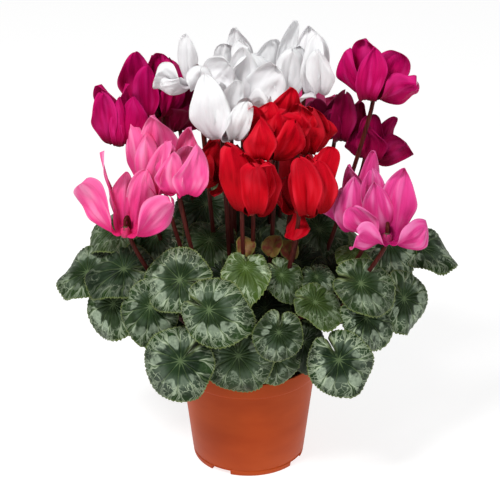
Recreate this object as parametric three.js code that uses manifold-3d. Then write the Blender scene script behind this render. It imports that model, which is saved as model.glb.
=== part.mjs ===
// Potted cyclamen in full bloom: a 12 cm nursery pot, soil, one crown of stalks, leaf blades and blooms.
// Millimetres, +Z up. The origin is the centre of the pot's underside, and the plant's front faces -Y.
import * as THREE from 'three';
import { mergeVertices } from 'three/addons/utils/BufferGeometryUtils.js';
import Module from 'manifold-3d';

const wasm = await Module();
wasm.setup();

// Driving dimensions of the pot and its filling
const POT_HEIGHT = 96;
const RIM_RADIUS = 60;
const COLLAR_HEIGHT = 14;
const COLLAR_PROUD = 1.2;
const FOOT_RADIUS = 48.6;
const BODY_TOP_RADIUS = 58;
const WALL = 1.6;
const FLOOR_UNDERSIDE = 5;
const FLOOR_TOP = 6.6;
const FOOT_WIDTH = 4.5;
const REST_PAD_RADIUS = 13;
const NOTCH_WIDTH = 19;
const NOTCH_HEIGHT = 4.4;
const NOTCH_ANGLES = [-120, -30, 60, 150];
const DRAIN_RADIUS = 4;
const DRAIN_RING_RADIUS = 28;
const SOIL_LEVEL = 84;
const SOIL_SHOULDER = 6;
const SOIL_MOUND_RADIUS = 34;
const CRUMB_HEIGHT = 1.1;

// Driving dimensions of the plant
const GAP = 0.3;
const TUBER_RADIUS = 27;
const TUBER_HALF_HEIGHT = 17;
const TUBER_CENTRE = SOIL_LEVEL + 2;
const ROOT_RISE = 0.5 * TUBER_HALF_HEIGHT;

const STALK_SIDES = 3;
const LEAF_STALK_RADIUS = 1.7;
const LEAF_ROOT_SPREAD = 17;
const LEAF_STALK_APPROACH = 12;
const LEAF_STALK_BULGE = 0.12;
const LEAF_STALK_GAP = 0.4;
const BLADE_THICKNESS = 1.1;
const RIM_POINTS = 14;
const TOOTH = 0.02;
const INNER_RING = 0.58;
const SEAT_SHARE = 0.16;
const NOTCH_HALF_ANGLE = 0.17;
const BLADE_SOFT_MIDDLE = 0.04;
const BLADE_DOME = 0.1;
const BLADE_DROOP = 0.25;
const BLADE_WAVE = 0.035;
const WAVES = 5;
const WAVE_STEP = 1.7;

const FLOWER_STALK_RADIUS = 2.3;
const FLOWER_ROOT_SPREAD = 9;
const STALK_LEAN = 0.56;
const STALK_LOW_SHARE = 0.36;
const STALK_HIGH_LEAN = 0.55;
const STALK_HIGH_SHARE = 0.5;
const HOOK_REACH = 8;
const HOOK_START = -5;
const HOOK_SHOULDER = 8;
const HOOK_TOP = 12.5;
const HOOK_GAP = 90;
const HOOK_BEHIND = 25;
const MOUTH_RADIUS = 4.2;
const MOUTH_NECK = 0.65;
const MOUTH_LIP = 3;
const CALYX_HEIGHT = 6;

const PETAL_THICKNESS = 0.9;
const PETAL_STATIONS = [0, 0.36, 0.75];
const PETAL_BASE = 3;
const PETAL_START = 115;
const PETAL_SWEEP = 5;
const PETAL_CURL = 18;
const PETAL_TWIST_RATE = 3;
const PETAL_SHIFT = 0.85;
const PETALS = 4;

// One row for each leaf: node, place of the blade's base, width, heading and rise of its upper face,
// and how far its tip is turned from straight downhill. Blades that share a node have grown together.
const LEAVES = [
  ['leaf_left_top', [-108, 6, 212], 51, -130, 60, -62],
  ['leaf_left_wide', [-103, -32, 190], 57, -112, 60, -78],
  ['leaves_left_far', [-136, -8, 176], 52, -125, 52, -84],
  ['leaves_left_far', [-112, -36, 160], 51, -120, 28, -30],
  ['leaves_front_left', [-80, -60, 169], 49, -98, 24, -8],
  ['leaves_front_left', [-55, -68, 197], 55, -112, 34, -88],
  ['leaf_rim_left', [-55, -84, 132], 60, -106, 18, -38],
  ['leaf_front_tall', [-31, -92, 182], 54, -106, 24, 70],
  ['leaf_front_bright', [-2, -60, 204], 41, -90, 64, 0],
  ['leaf_front_folded', [27, -50, 193], 35, -70, 44, 22],
  ['leaf_front_low', [24, -100, 166], 40, -92, 16, -6],
  ['leaf_front_right', [54, -70, 178], 40, -66, 58, 52],
  ['leaf_right_small', [56, -40, 187], 29, -82, 54, 15],
  ['leaf_right_wide', [91, -60, 190], 49, -74, 42, 60],
  ['leaves_right_low', [129, -36, 165], 52, -52, 22, 28],
  ['leaves_right_far', [117, -10, 186], 46, -58, 46, 40],
  ['leaf_rim_right', [73, -88, 135], 54, -80, 18, 24],
  ['leaves_right_low', [96, -61, 160], 47, -64, 30, 36],
  ['leaves_right_far', [147, 8, 192], 55, -58, 68, 78],
  ['leaves_right_far', [117, -8, 203], 49, -64, 50, 20],
  ['leaf_right_pale', [88, -20, 199], 34, -88, 70, 20],
  ['leaf_rim_front', [-8, -82, 136], 56, -94, 12, 4],
  ['leaf_rim_middle', [20, -70, 130], 44, -82, 14, 12],
  ['leaf_centre_top', [-36, 36, 220], 54, -104, 46, -22],
  ['leaf_centre_left', [-32, -4, 204], 49, -96, 58, -16],
  ['leaf_centre_right', [60, 14, 206], 46, -76, 48, 22],
  ['leaf_left_inner', [-77, 2, 206], 48, -106, 46, -16],
  ['leaves_centre_back', [14, 42, 213], 54, -84, 58, 24],
  ['leaves_back_right', [78, 84, 184], 54, 42, 42, 10],
  ['leaves_back_middle', [20, 104, 180], 54, 82, 42, -12],
  ['leaves_back_left', [-42, 102, 180], 54, 112, 42, 8],
  ['leaves_back_far_left', [-92, 64, 188], 54, 148, 44, 0],
  ['leaves_back_left', [-70, 98, 147], 54, 130, 24, -8],
  ['leaf_back_low', [-14, 116, 140], 54, 95, 22, 12],
  ['leaves_back_middle', [50, 110, 141], 52, 60, 20, 0],
  ['leaf_back_far_right', [110, 54, 150], 52, 20, 24, -6],
  ['leaves_back_far_left', [-117, 34, 157], 52, 178, 28, 6],
  ['leaves_centre_back', [2, 62, 219], 50, 88, 60, 0],
  ['leaves_back_right', [60, 62, 213], 48, 55, 58, 0],
  ['young_leaf_left', [-3, -34, 210], 17, -70, 40, 160, 0.7],
  ['young_leaf_middle', [20, -30, 208], 18, -120, 30, 175, 0.7],
  ['young_leaf_right', [33, -22, 201], 18, -60, 35, 190, 0.7],
];

// One row for each bloom: node, colour, place of its mouth, petal length and width, and its petals.
// A petal is its heading, how far it opens from upright, its twist, and its share of length and width.
const BLOOMS = [
  ['magenta_left_front', 'magenta', [-105, -5, 291], 50, 27,
    [[130, 2, -40, 1.05, 0.95], [-150, 6, 60, 1.0, 0.85], [-95, -6, 8, 0.86, 0.6],
      [-30, 6, -62, 0.92, 0.9], [75, 10, 80, 1.0, 0.9]]],
  ['magenta_left_rear', 'magenta', [-78, 26, 303], 52, 27,
    [[158, 9, 112, 1.12, 1.05], [60, 6, 30, 1.05, 0.95], [-125, -4, 35, 0.95, 0.85],
      [-10, 14, -80, 0.95, 0.9], [100, 10, 70, 1.0, 1.0]]],
  ['magenta_left_inner', 'magenta', [-64, 44, 286], 52, 28,
    [[0, 50, -75, 0.85, 1.1], [80, 4, 30, 1.2, 0.7], [-50, 35, -35, 0.85, 1.05],
      [150, 15, 60, 0.9, 1.0], [-120, 15, 30, 0.75, 1.0]]],
  ['white_left', 'white', [-42, -2, 341], 52, 29,
    [[180, 60, 90, 0.58, 1.05], [130, 1, -40, 0.82, 0.55], [22, 48, 66, 0.52, 0.95],
      [-150, 84, 60, 0.46, 0.65], [-75, 8, -15, 0.42, 0.8]]],
  ['white_front', 'white', [-17, -26, 303], 54, 30,
    [[-150, 8, 58, 1.05, 1.05], [-50, 10, -40, 0.68, 0.78], [90, 2, 0, 0.9, 0.85],
      [30, 15, 60, 0.7, 0.85], [150, 10, 20, 0.85, 0.9]]],
  ['white_middle', 'white', [-9, 14, 316], 54, 31,
    [[10, 30, 80, 0.84, 1.1], [60, 6, 30, 0.93, 0.85], [130, 2, -40, 0.65, 0.8],
      [-35, 64, -50, 0.6, 0.8], [95, 8, 75, 0.8, 0.9]]],
  ['white_top', 'white', [-13, 54, 317], 52, 30,
    [[62, 3, 28, 1.05, 0.85], [160, 18, 108, 0.6, 0.9], [110, 0, -20, 0.8, 1.0],
      [-150, 5, 50, 0.6, 0.9], [-30, 6, 10, 0.8, 0.9]]],
  ['whites_right', 'white', [26, 36, 319], 56, 30,
    [[72, 8, 18, 1.14, 0.58], [130, 5, -40, 0.85, 1.0], [170, 18, 100, 0.72, 0.95],
      [10, 2, 80, 0.85, 0.9], [-60, 4, -30, 0.85, 1.0]]],
  ['whites_right', 'white', [54, 27, 326], 54, 30,
    [[112, 3, -20, 1.02, 1.05], [62, 10, 28, 0.85, 0.6], [-115, -4, 25, 0.95, 0.65],
      [-60, 3, -35, 0.74, 0.75], [-125, 112, 30, 0.48, 0.75]]],
  ['pink_left_front', 'pink', [-99, -48, 229], 52, 29,
    [[168, 24, 98, 1.06, 1.0], [135, 17, 62, 1.35, 0.75], [100, 8, -10, 1.0, 0.75],
      [45, 6, 50, 1.1, 0.9], [-12, 40, -75, 0.98, 1.0]]],
  ['pink_left_rear', 'pink', [-75, -20, 254], 54, 31,
    [[165, 13, 70, 1.14, 0.65], [85, -2, 5, 1.26, 1.2], [-110, -6, 20, 0.95, 0.9],
      [-50, 4, -40, 0.95, 1.0], [120, 12, 60, 0.95, 0.9]]],
  ['pink_left_inner', 'pink', [-53, -52, 267], 52, 30,
    [[70, 4, 20, 1.05, 0.8], [-55, 8, -30, 0.82, 1.0], [40, 0, 50, 0.8, 0.9],
      [150, 5, 60, 0.85, 0.9], [-140, 6, 45, 0.7, 0.9]]],
  ['red_front', 'red', [2, -54, 251], 56, 30,
    [[-165, 0, 76, 1.08, 0.9], [-65, 0, -25, 0.88, 0.85], [15, 5, 78, 0.84, 0.9],
      [55, 2, 35, 0.8, 0.9], [110, -2, -20, 0.92, 0.95]]],
  ['red_middle', 'red', [12, -34, 290], 54, 30,
    [[125, 2, -35, 0.82, 0.9], [25, 22, -85, 0.62, 1.0], [-8, 36, -80, 0.72, 1.0],
      [-110, 0, 20, 0.6, 0.9], [80, 8, 90, 0.75, 1.0]]],
  ['red_top', 'red', [29, -26, 305], 52, 31,
    [[90, -2, 0, 0.78, 1.05], [165, 6, -70, 0.58, 0.85], [20, 6, 70, 0.56, 0.85],
      [-100, -2, 0, 0.5, 1.0], [-40, 10, -50, 0.5, 0.8]]],
  ['red_right_top', 'red', [47, -14, 288], 52, 30,
    [[50, 4, 40, 0.72, 1.0], [-90, 4, 0, 0.66, 0.9], [130, 2, -40, 0.52, 0.9],
      [15, 4, -100, 0.55, 0.8], [-135, 6, 45, 0.6, 0.85]]],
  ['red_right', 'red', [48, -52, 250], 56, 31,
    [[-100, 0, 8, 1.02, 0.92], [-20, 5, -70, 0.85, 0.8], [40, 8, 50, 1.02, 0.72],
      [120, 0, -30, 0.85, 0.95], [80, 8, 90, 0.85, 0.9]]],
  ['red_small', 'red', [41, -36, 243], 36, 23,
    [[-95, 125, 0, 0.74, 1.0], [150, 15, 60, 0.85, 1.0], [110, 8, -20, 0.85, 0.9],
      [40, 10, 50, 0.8, 0.8], [0, 14, 0, 0.7, 0.8]]],
  ['red_left', 'red', [-20, -14, 262], 46, 26,
    [[180, 36, 88, 0.46, 1.05], [-110, 120, 20, 0.42, 0.6], [90, 4, 0, 0.8, 1.0],
      [20, 10, 70, 0.7, 1.0], [140, 12, -50, 0.75, 1.05]]],
  ['magenta_right_top', 'magenta', [99, 2, 328], 54, 29,
    [[100, -2, -10, 0.92, 1.1], [-110, -5, 20, 0.84, 1.05], [38, 14, 62, 0.78, 1.05],
      [-15, 64, -72, 0.7, 1.05], [165, 24, 80, 0.78, 0.8]]],
  ['magenta_right_inner', 'magenta', [78, 36, 281], 52, 28,
    [[-95, -4, 5, 0.9, 0.88], [90, 0, 0, 0.75, 0.95], [168, 24, 98, 0.74, 0.8],
      [30, 4, 60, 0.7, 0.8], [-150, 8, 60, 0.6, 0.8]]],
  ['magenta_right_low', 'magenta', [103, 20, 269], 52, 29,
    [[0, 36, 90, 0.54, 1.0], [40, 16, 50, 0.76, 0.5], [100, 0, -10, 0.74, 0.9],
      [170, 16, 100, 0.5, 0.7], [-90, -4, 0, 0.68, 0.9]]],
  ['rose_right_front', 'rose', [91, -40, 230], 56, 32,
    [[-140, 10, 48, 0.84, 0.92], [115, 2, -25, 1.0, 0.78], [60, 6, 30, 1.2, 0.55],
      [-40, 4, -50, 1.05, 0.65], [170, 8, 75, 0.7, 0.9]]],
  ['rose_right', 'rose', [110, -66, 231], 56, 33,
    [[50, 7, 40, 1.1, 0.9], [-15, 52, -75, 0.54, 0.95], [-145, 60, 54, 0.56, 0.95],
      [115, 2, -25, 0.9, 0.8], [175, 20, 95, 0.7, 0.8]]],
  ['red_back', 'red', [33, 34, 238], 52, 30,
    [[-90, 3, 0, 0.66, 1], [150, 10, 66, 0.75, 0.95], [30, 10, 60, 0.7, 0.95],
      [90, 6, 10, 0.8, 1], [-20, 12, -60, 0.66, 0.9]]],
  ['magenta_left_inner', 'magenta', [-42, 65, 281], 52, 28,
    [[100, 12, -10, 0.95, 1], [170, 18, 70, 0.9, 1], [30, 8, 60, 0.9, 1],
      [-120, 4, 30, 0.85, 1], [-50, 4, -30, 0.85, 1]]],
  ['pink_back', 'pink', [48, 84, 264], 52, 30,
    [[80, 14, 10, 1.0, 1], [10, 20, 75, 0.9, 1.05], [150, 8, 60, 0.85, 1],
      [-130, 6, 30, 0.8, 1], [-60, 6, -30, 0.85, 1]]],
];

const COLOURS = {
  terracotta: 0xb4512a,
  soil: 0x2b201a,
  stalk: 0x5a2a24,
  leaf: 0x3f6340,
  young: 0x9c5a3c,
  magenta: 0xb3105f,
  white: 0xf1eff3,
  pink: 0xf0609f,
  red: 0xcf1526,
  rose: 0xe04a94,
};

const radians = THREE.MathUtils.degToRad;
const UP = new THREE.Vector3(0, 0, 1);

// The unit vector that points along a heading and rises by an angle, both in degrees.
function direction(heading, rise) {
  const level = Math.cos(radians(rise));
  return new THREE.Vector3(
    level * Math.cos(radians(heading)),
    level * Math.sin(radians(heading)),
    Math.sin(radians(rise)),
  );
}

// The first of two square unit vectors, turned towards the second by an angle in radians.
function turned(first, second, angle) {
  return first.clone().multiplyScalar(Math.cos(angle)).addScaledVector(second, Math.sin(angle));
}

// A point in a frame of three axes.
function pointIn(origin, frame, x, y, z) {
  return origin.clone()
    .addScaledVector(frame[0], x)
    .addScaledVector(frame[1], y)
    .addScaledVector(frame[2], z);
}

// The solid of a geometry, with its shared vertices merged.
function solidOf(geometry) {
  const bare = geometry.clone();
  bare.deleteAttribute('normal');
  bare.deleteAttribute('uv');
  const merged = mergeVertices(bare, 1e-4);
  return new wasm.Manifold(new wasm.Mesh({
    numProp: 3,
    vertProperties: merged.attributes.position.array,
    triVerts: new Uint32Array(merged.index.array),
  }));
}

// The named mesh of a solid.
function meshOf(name, solid, colour, roughness) {
  const { vertProperties, triVerts } = solid.getMesh();
  const geometry = new THREE.BufferGeometry();
  geometry.setAttribute('position', new THREE.Float32BufferAttribute(vertProperties, 3));
  geometry.setIndex(new THREE.Uint32BufferAttribute(triVerts, 1));
  geometry.computeVertexNormals();
  const material = new THREE.MeshStandardMaterial({ color: COLOURS[colour], roughness, metalness: 0 });
  const mesh = new THREE.Mesh(geometry, material);
  mesh.name = name;
  return mesh;
}

function union(solids) {
  return wasm.Manifold.union(solids);
}

// Cutting can leave a scrap of petal or blade that hangs on nothing, so only the largest piece stays.
function largestPiece(solid) {
  const pieces = solid.decompose();
  return pieces.reduce((best, piece) => (piece.volume() > best.volume() ? piece : best));
}

function boxesMeet(one, other) {
  const a = one.boundingBox();
  const b = other.boundingBox();
  return [0, 1, 2].every((axis) => a.min[axis] < b.max[axis] && b.min[axis] < a.max[axis]);
}

// What would cross a neighbour stands clear of it.
function clearOf(solid, neighbours) {
  const near = neighbours.filter((neighbour) => boxesMeet(solid, neighbour));
  return near.length ? largestPiece(solid.subtract(union(near))) : solid;
}

// A thin sheet made into a solid: each face is moved half the thickness along the sheet's own normals,
// with the same triangles on both sides, and the rim is closed between them.
function thicken(points, faces, thickness) {
  const normals = points.map(() => new THREE.Vector3());
  for (const [a, b, c] of faces) {
    const along = points[b].clone().sub(points[a]);
    const across = points[c].clone().sub(points[a]);
    const normal = along.cross(across);
    [a, b, c].forEach((corner) => normals[corner].add(normal));
  }
  const count = points.length;
  const positions = [];
  for (const side of [0.5, -0.5]) {
    points.forEach((point, i) => {
      const shift = normals[i].clone().setLength(side * thickness);
      positions.push(...point.clone().add(shift));
    });
  }
  const edges = new Set();
  for (const [a, b, c] of faces) {
    edges.add(`${a},${b}`).add(`${b},${c}`).add(`${c},${a}`);
  }
  const index = [];
  for (const [a, b, c] of faces) {
    index.push(a, b, c, c + count, b + count, a + count);
    for (const [from, to] of [[a, b], [b, c], [c, a]]) {
      if (edges.has(`${to},${from}`)) continue;
      index.push(to, from, from + count, to, from + count, to + count);
    }
  }
  const geometry = new THREE.BufferGeometry();
  geometry.setAttribute('position', new THREE.Float32BufferAttribute(positions, 3));
  geometry.setIndex(index);
  return solidOf(geometry);
}

// A smooth curve that is sampled evenly from one of its points to the next, however far apart they are.
class StalkCurve extends THREE.CatmullRomCurve3 {
  getUtoTmapping(share) {
    return share;
  }
}

function stalkSolid(points, radius, sides, steps) {
  const section = new THREE.Shape();
  for (let i = 0; i < sides; i += 1) {
    const angle = (2 * Math.PI * i) / sides;
    const corner = [radius * Math.cos(angle), radius * Math.sin(angle)];
    if (i === 0) section.moveTo(...corner);
    else section.lineTo(...corner);
  }
  const extrudePath = new StalkCurve(points);
  return solidOf(new THREE.ExtrudeGeometry(section, { steps, extrudePath, curveSegments: 1 }));
}

// The pot
function potRadius(height) {
  const share = height / (POT_HEIGHT - COLLAR_HEIGHT);
  return FOOT_RADIUS + (BODY_TOP_RADIUS - FOOT_RADIUS) * share;
}

function lathe(profile, segments) {
  const outline = profile.map(([radius, height]) => new THREE.Vector2(radius, height));
  return solidOf(new THREE.LatheGeometry(outline, segments).rotateX(Math.PI / 2));
}

function disc(radius, sides, bottom, height) {
  const shape = new THREE.Shape().absarc(0, 0, radius, 0, 2 * Math.PI, false);
  const geometry = new THREE.ExtrudeGeometry(shape, {
    depth: height,
    bevelEnabled: false,
    curveSegments: sides,
  });
  return geometry.translate(0, 0, bottom);
}

function potSolid() {
  const collarBottom = POT_HEIGHT - COLLAR_HEIGHT;
  const shell = lathe([
    [0, FLOOR_UNDERSIDE],
    [FOOT_RADIUS - FOOT_WIDTH - 1, FLOOR_UNDERSIDE],
    [FOOT_RADIUS - FOOT_WIDTH, 0],
    [FOOT_RADIUS - 1.4, 0],
    [FOOT_RADIUS, 1.6],
    [potRadius(5) - 0.5, 5],
    [potRadius(5.8), 5.8],
    [potRadius(collarBottom), collarBottom],
    [potRadius(collarBottom) + COLLAR_PROUD, collarBottom + 1],
    [RIM_RADIUS, POT_HEIGHT - 1.2],
    [RIM_RADIUS - 0.6, POT_HEIGHT],
    [RIM_RADIUS - WALL, POT_HEIGHT],
    [potRadius(collarBottom) - WALL, collarBottom - 1],
    [potRadius(FLOOR_TOP + 3) - WALL, FLOOR_TOP + 3],
    [potRadius(FLOOR_TOP) - WALL - 3, FLOOR_TOP],
    [0, FLOOR_TOP],
  ], 26);
  const pad = solidOf(disc(REST_PAD_RADIUS, 7, 0, FLOOR_UNDERSIDE + 0.5));
  const notch = new THREE.BoxGeometry(3 * FOOT_WIDTH, NOTCH_WIDTH, 2 * NOTCH_HEIGHT);
  const notches = NOTCH_ANGLES.map((angle) => solidOf(
    notch.clone().translate(FOOT_RADIUS, 0, 0).rotateZ(radians(angle)),
  ));
  const drains = NOTCH_ANGLES.map((angle) => {
    const hole = disc(DRAIN_RADIUS, 5, FLOOR_UNDERSIDE - 1, FLOOR_TOP - FLOOR_UNDERSIDE + 2);
    return solidOf(hole.translate(DRAIN_RING_RADIUS, 0, 0).rotateZ(radians(angle)));
  });
  return shell.add(pad).subtract(union([...notches, ...drains]));
}

// The soil fills the pot to just under the collar, and its top is crumbly.
function soilSolid() {
  const inside = (height) => potRadius(height) - WALL - 2 * GAP;
  const floor = FLOOR_TOP + GAP;
  const shoulder = SOIL_LEVEL - SOIL_SHOULDER;
  const profile = [
    [0, floor],
    [inside(floor) - 3.4, floor],
    [inside(floor + 3.6), floor + 3.6],
    [inside(shoulder), shoulder],
    [inside(shoulder) - 1, shoulder + 0.5 * SOIL_SHOULDER],
    [inside(shoulder) - 10, SOIL_LEVEL - 1],
    [SOIL_MOUND_RADIUS, SOIL_LEVEL],
    [0, SOIL_LEVEL],
  ];
  const outline = profile.map(([radius, height]) => new THREE.Vector2(radius, height));
  const geometry = new THREE.LatheGeometry(outline, 18).rotateX(Math.PI / 2);
  const place = geometry.attributes.position;
  for (let i = 0; i < place.count; i += 1) {
    const [x, y, z] = [place.getX(i), place.getY(i), place.getZ(i)];
    const crumbs = Math.sin(0.31 * x + 1) * Math.cos(0.27 * y);
    if (z > SOIL_LEVEL - 2) place.setZ(i, z + CRUMB_HEIGHT * crumbs);
  }
  return solidOf(geometry).subtract(tuberSolid(GAP));
}

// The crown: the tuber, half out of the soil, with every flower stalk and leaf stalk grown from it
function tuberSolid(extra) {
  const ball = new THREE.SphereGeometry(1, 12, 6).rotateX(Math.PI / 2);
  ball.scale(TUBER_RADIUS + extra, TUBER_RADIUS + extra, TUBER_HALF_HEIGHT + extra);
  return solidOf(ball.translate(0, 0, TUBER_CENTRE));
}

function crownRoot(place, spread) {
  const out = new THREE.Vector3(place[0], place[1], 0).setLength(spread);
  return out.setZ(TUBER_CENTRE + ROOT_RISE);
}

// A leaf stalk rises in a bow and meets the back of its blade square on.
function leafStalk(leaf, extra) {
  const { seat, frame } = leaf;
  const root = crownRoot(leaf.place, LEAF_ROOT_SPREAD);
  const behind = seat.clone().addScaledVector(frame[2], -LEAF_STALK_APPROACH);
  const middle = root.clone().lerp(behind, 0.5);
  middle.z += LEAF_STALK_BULGE * root.distanceTo(behind);
  const end = seat.clone().addScaledVector(frame[2], -0.5 * BLADE_THICKNESS - LEAF_STALK_GAP);
  return stalkSolid([root, middle, behind, end], LEAF_STALK_RADIUS + extra, STALK_SIDES, 3);
}

// A flower stalk rises from the crown, passes between two petals and hooks over into the calyx,
// so the bloom nods.
function flowerStalk(bloom, extra) {
  const { mouth, hook } = bloom;
  const out = direction(hook, 0);
  const root = crownRoot(bloom.place, FLOWER_ROOT_SPREAD);
  const at = (reach, rise) => mouth.clone().addScaledVector(out, reach).setZ(mouth.z + rise);
  const beside = at(HOOK_REACH, HOOK_START);
  const low = root.clone().lerp(beside, STALK_LEAN);
  low.z = THREE.MathUtils.lerp(root.z, beside.z, STALK_LOW_SHARE);
  const high = low.clone().lerp(beside, STALK_HIGH_LEAN);
  high.z = THREE.MathUtils.lerp(low.z, beside.z, STALK_HIGH_SHARE);
  const points = [
    root,
    low,
    high,
    beside,
    at(HOOK_REACH, HOOK_SHOULDER),
    at(0.55 * HOOK_REACH, HOOK_TOP),
    at(0, CALYX_HEIGHT + 5),
    at(0, CALYX_HEIGHT + GAP),
  ];
  return stalkSolid(points, FLOWER_STALK_RADIUS + extra, STALK_SIDES, points.length - 1);
}

function crownSolid(leaves, blooms, extra) {
  return union([
    tuberSolid(extra),
    ...leaves.map((leaf) => leafStalk(leaf, extra)),
    ...blooms.map((bloom) => flowerStalk(bloom, extra)),
  ]);
}

// Leaf blades: heart-shaped, domed, waved and finely toothed, with a narrow notch at the stalk
function readLeaf([name, place, width, heading, rise, turn, fold = 0.14], order) {
  const face = direction(heading, rise);
  const downhill = direction(heading, rise - 90);
  const right = face.clone().cross(downhill);
  const tip = turned(downhill, right, radians(turn));
  const side = tip.clone().cross(face);
  const leaf = { name, place, width, fold, order, frame: [side, tip, face] };
  leaf.seat = new THREE.Vector3(...place).lerp(bladePoint(leaf, INNER_RING, 0, 0), SEAT_SHARE);
  return leaf;
}

// The heart shape: how far the rim is from the base of a blade one wide. Its tip has a small point.
function bladeRadius(angle) {
  const heart = 0.52 + 0.085 * Math.cos(angle) + 0.03 * Math.cos(2 * angle);
  const point = 0.03 * Math.exp(-((angle / 0.25) ** 2));
  return heart + point;
}

function bladePoint(leaf, share, angle, extra) {
  const { width, fold, order } = leaf;
  const radius = share * (width * bladeRadius(angle) + extra);
  const x = radius * Math.sin(angle);
  const y = radius * Math.cos(angle);
  const out = radius / (0.5 * width);
  const soft = BLADE_SOFT_MIDDLE * width;
  const dome = -BLADE_DOME * width * out ** 2;
  const gutter = fold * (Math.hypot(x, soft) - soft);
  const droop = (-BLADE_DROOP * Math.max(y, 0) ** 2) / width;
  const wave = BLADE_WAVE * width * out ** 2 * Math.sin(WAVES * angle + WAVE_STEP * order);
  return pointIn(new THREE.Vector3(...leaf.place), leaf.frame, x, y, dome + gutter + droop + wave);
}

function bladeSolid(leaf, extra) {
  const half = Math.PI - NOTCH_HALF_ANGLE;
  const points = [new THREE.Vector3(...leaf.place)];
  const ring = (share, count, tooth) => {
    const start = points.length;
    for (let i = 0; i <= count; i += 1) {
      const angle = half * ((2 * i) / count - 1);
      const reach = share * (1 + (i % 2 ? tooth : -tooth));
      points.push(bladePoint(leaf, reach, angle, extra));
    }
    return start;
  };
  const inner = ring(INNER_RING, RIM_POINTS / 2, 0);
  const rim = ring(1, RIM_POINTS, TOOTH);
  const faces = [];
  for (let i = 0; i < RIM_POINTS / 2; i += 1) {
    const [a, b] = [inner + i, inner + i + 1];
    const [c, d, e] = [rim + 2 * i, rim + 2 * i + 1, rim + 2 * i + 2];
    faces.push([0, b, a], [a, d, c], [a, b, d], [b, e, d]);
  }
  return thicken(points, faces, BLADE_THICKNESS + 2 * extra);
}

// How well the stalk's hook fits a gap between petals, best in a wide one at the back
function hookRoom({ middle, size }) {
  return Math.min(size, HOOK_GAP) + HOOK_BEHIND * Math.sin(radians(middle));
}

// Blooms: five petals that sweep up from the mouth and twist
function readBloom([name, colour, place, length, width, petals]) {
  const headings = petals.map(([heading]) => (heading + 360) % 360).sort((a, b) => a - b);
  const gaps = headings.map((heading, i) => {
    const next = i + 1 < headings.length ? headings[i + 1] : headings[0] + 360;
    return { middle: 0.5 * (heading + next), size: next - heading };
  });
  const hook = gaps.reduce((best, gap) => (hookRoom(gap) > hookRoom(best) ? gap : best)).middle;
  return { name, colour, place, length, width, petals, hook, mouth: new THREE.Vector3(...place) };
}

function petalSpread(share) {
  const rise = THREE.MathUtils.smoothstep(share, 0, 0.56);
  return (0.05 + 0.95 * rise) * (1 - share ** 4) ** 0.55;
}

// The middle line of a petal, as its distance out, its height and its slope at each share of its length
function petalLine(open, length) {
  const steps = 40;
  const slope = (share) => {
    const sweep = (PETAL_START - open) * Math.exp(-(((share * length) / PETAL_SWEEP) ** 1.5));
    return radians(open + sweep + PETAL_CURL * (share ** 2 - 0.3));
  };
  const line = [{ out: PETAL_BASE, up: 0, slope: slope(0) }];
  for (let i = 1; i <= steps; i += 1) {
    const middle = slope((i - 0.5) / steps);
    const last = line[i - 1];
    line.push({
      out: last.out + (Math.sin(middle) * length) / steps,
      up: last.up + (Math.cos(middle) * length) / steps,
      slope: slope(i / steps),
    });
  }
  return (share) => line[Math.round(share * steps)];
}

// As a petal turns, it also moves out, so that its inner edge keeps clear of the other petals.
function petalSolid(bloom, [heading, open, twist, longer, wider], extra) {
  const length = bloom.length * longer + extra;
  const halfWidth = 0.5 * bloom.width * wider + extra;
  const lineAt = petalLine(open, length);
  const out = direction(heading, 0);
  const sideways = UP.clone().cross(out);
  const place = (share, side) => {
    const line = lineAt(share);
    const along = turned(UP, out, line.slope);
    const inward = along.clone().cross(sideways);
    const turn = radians(twist) * (1 - (1 - share) ** PETAL_TWIST_RATE);
    const across = turned(sideways, inward, turn);
    const spread = halfWidth * petalSpread(share);
    const shift = PETAL_SHIFT * spread * Math.abs(Math.sin(turn));
    return pointIn(bloom.mouth, [out, UP, across], line.out + shift, line.up, spread * side);
  };
  const points = PETAL_STATIONS.flatMap((share) => [place(share, -1), place(share, 1)]);
  points.push(place(1, 0));
  const faces = [];
  for (let a = 0; a + 3 < points.length; a += 2) {
    faces.push([a, a + 1, a + 3], [a, a + 3, a + 2]);
  }
  const tip = points.length - 1;
  faces.push([tip - 2, tip - 1, tip]);
  return thicken(points, faces, PETAL_THICKNESS + 2 * extra);
}

function mouthSolid(bloom, extra) {
  const outline = [
    [0, -MOUTH_LIP],
    [MOUTH_RADIUS + extra, -MOUTH_LIP],
    [MOUTH_NECK * MOUTH_RADIUS + extra, CALYX_HEIGHT],
    [0, CALYX_HEIGHT],
  ];
  return lathe(outline, 5).translate(bloom.place);
}

function bloomSolid(bloom, extra) {
  const petals = bloom.petals.slice(0, PETALS).map((petal) => petalSolid(bloom, petal, extra));
  return union([mouthSolid(bloom, extra), ...petals]);
}

// The whole plant in its pot
const leaves = LEAVES.map(readLeaf);
const blooms = BLOOMS.map(readBloom);
const group = new THREE.Group();
group.add(meshOf('pot', potSolid(), 'terracotta', 0.5));
group.add(meshOf('soil', soilSolid(), 'soil', 0.95));
group.add(meshOf('crown', crownSolid(leaves, blooms, 0), 'stalk', 0.5));

const potSpace = lathe([[0, 0], [FOOT_RADIUS, 0], [RIM_RADIUS + GAP, POT_HEIGHT - COLLAR_HEIGHT],
  [RIM_RADIUS + GAP, POT_HEIGHT + GAP], [0, POT_HEIGHT + GAP]], 30);
const placed = [potSpace, crownSolid(leaves, blooms, GAP)];

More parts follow.
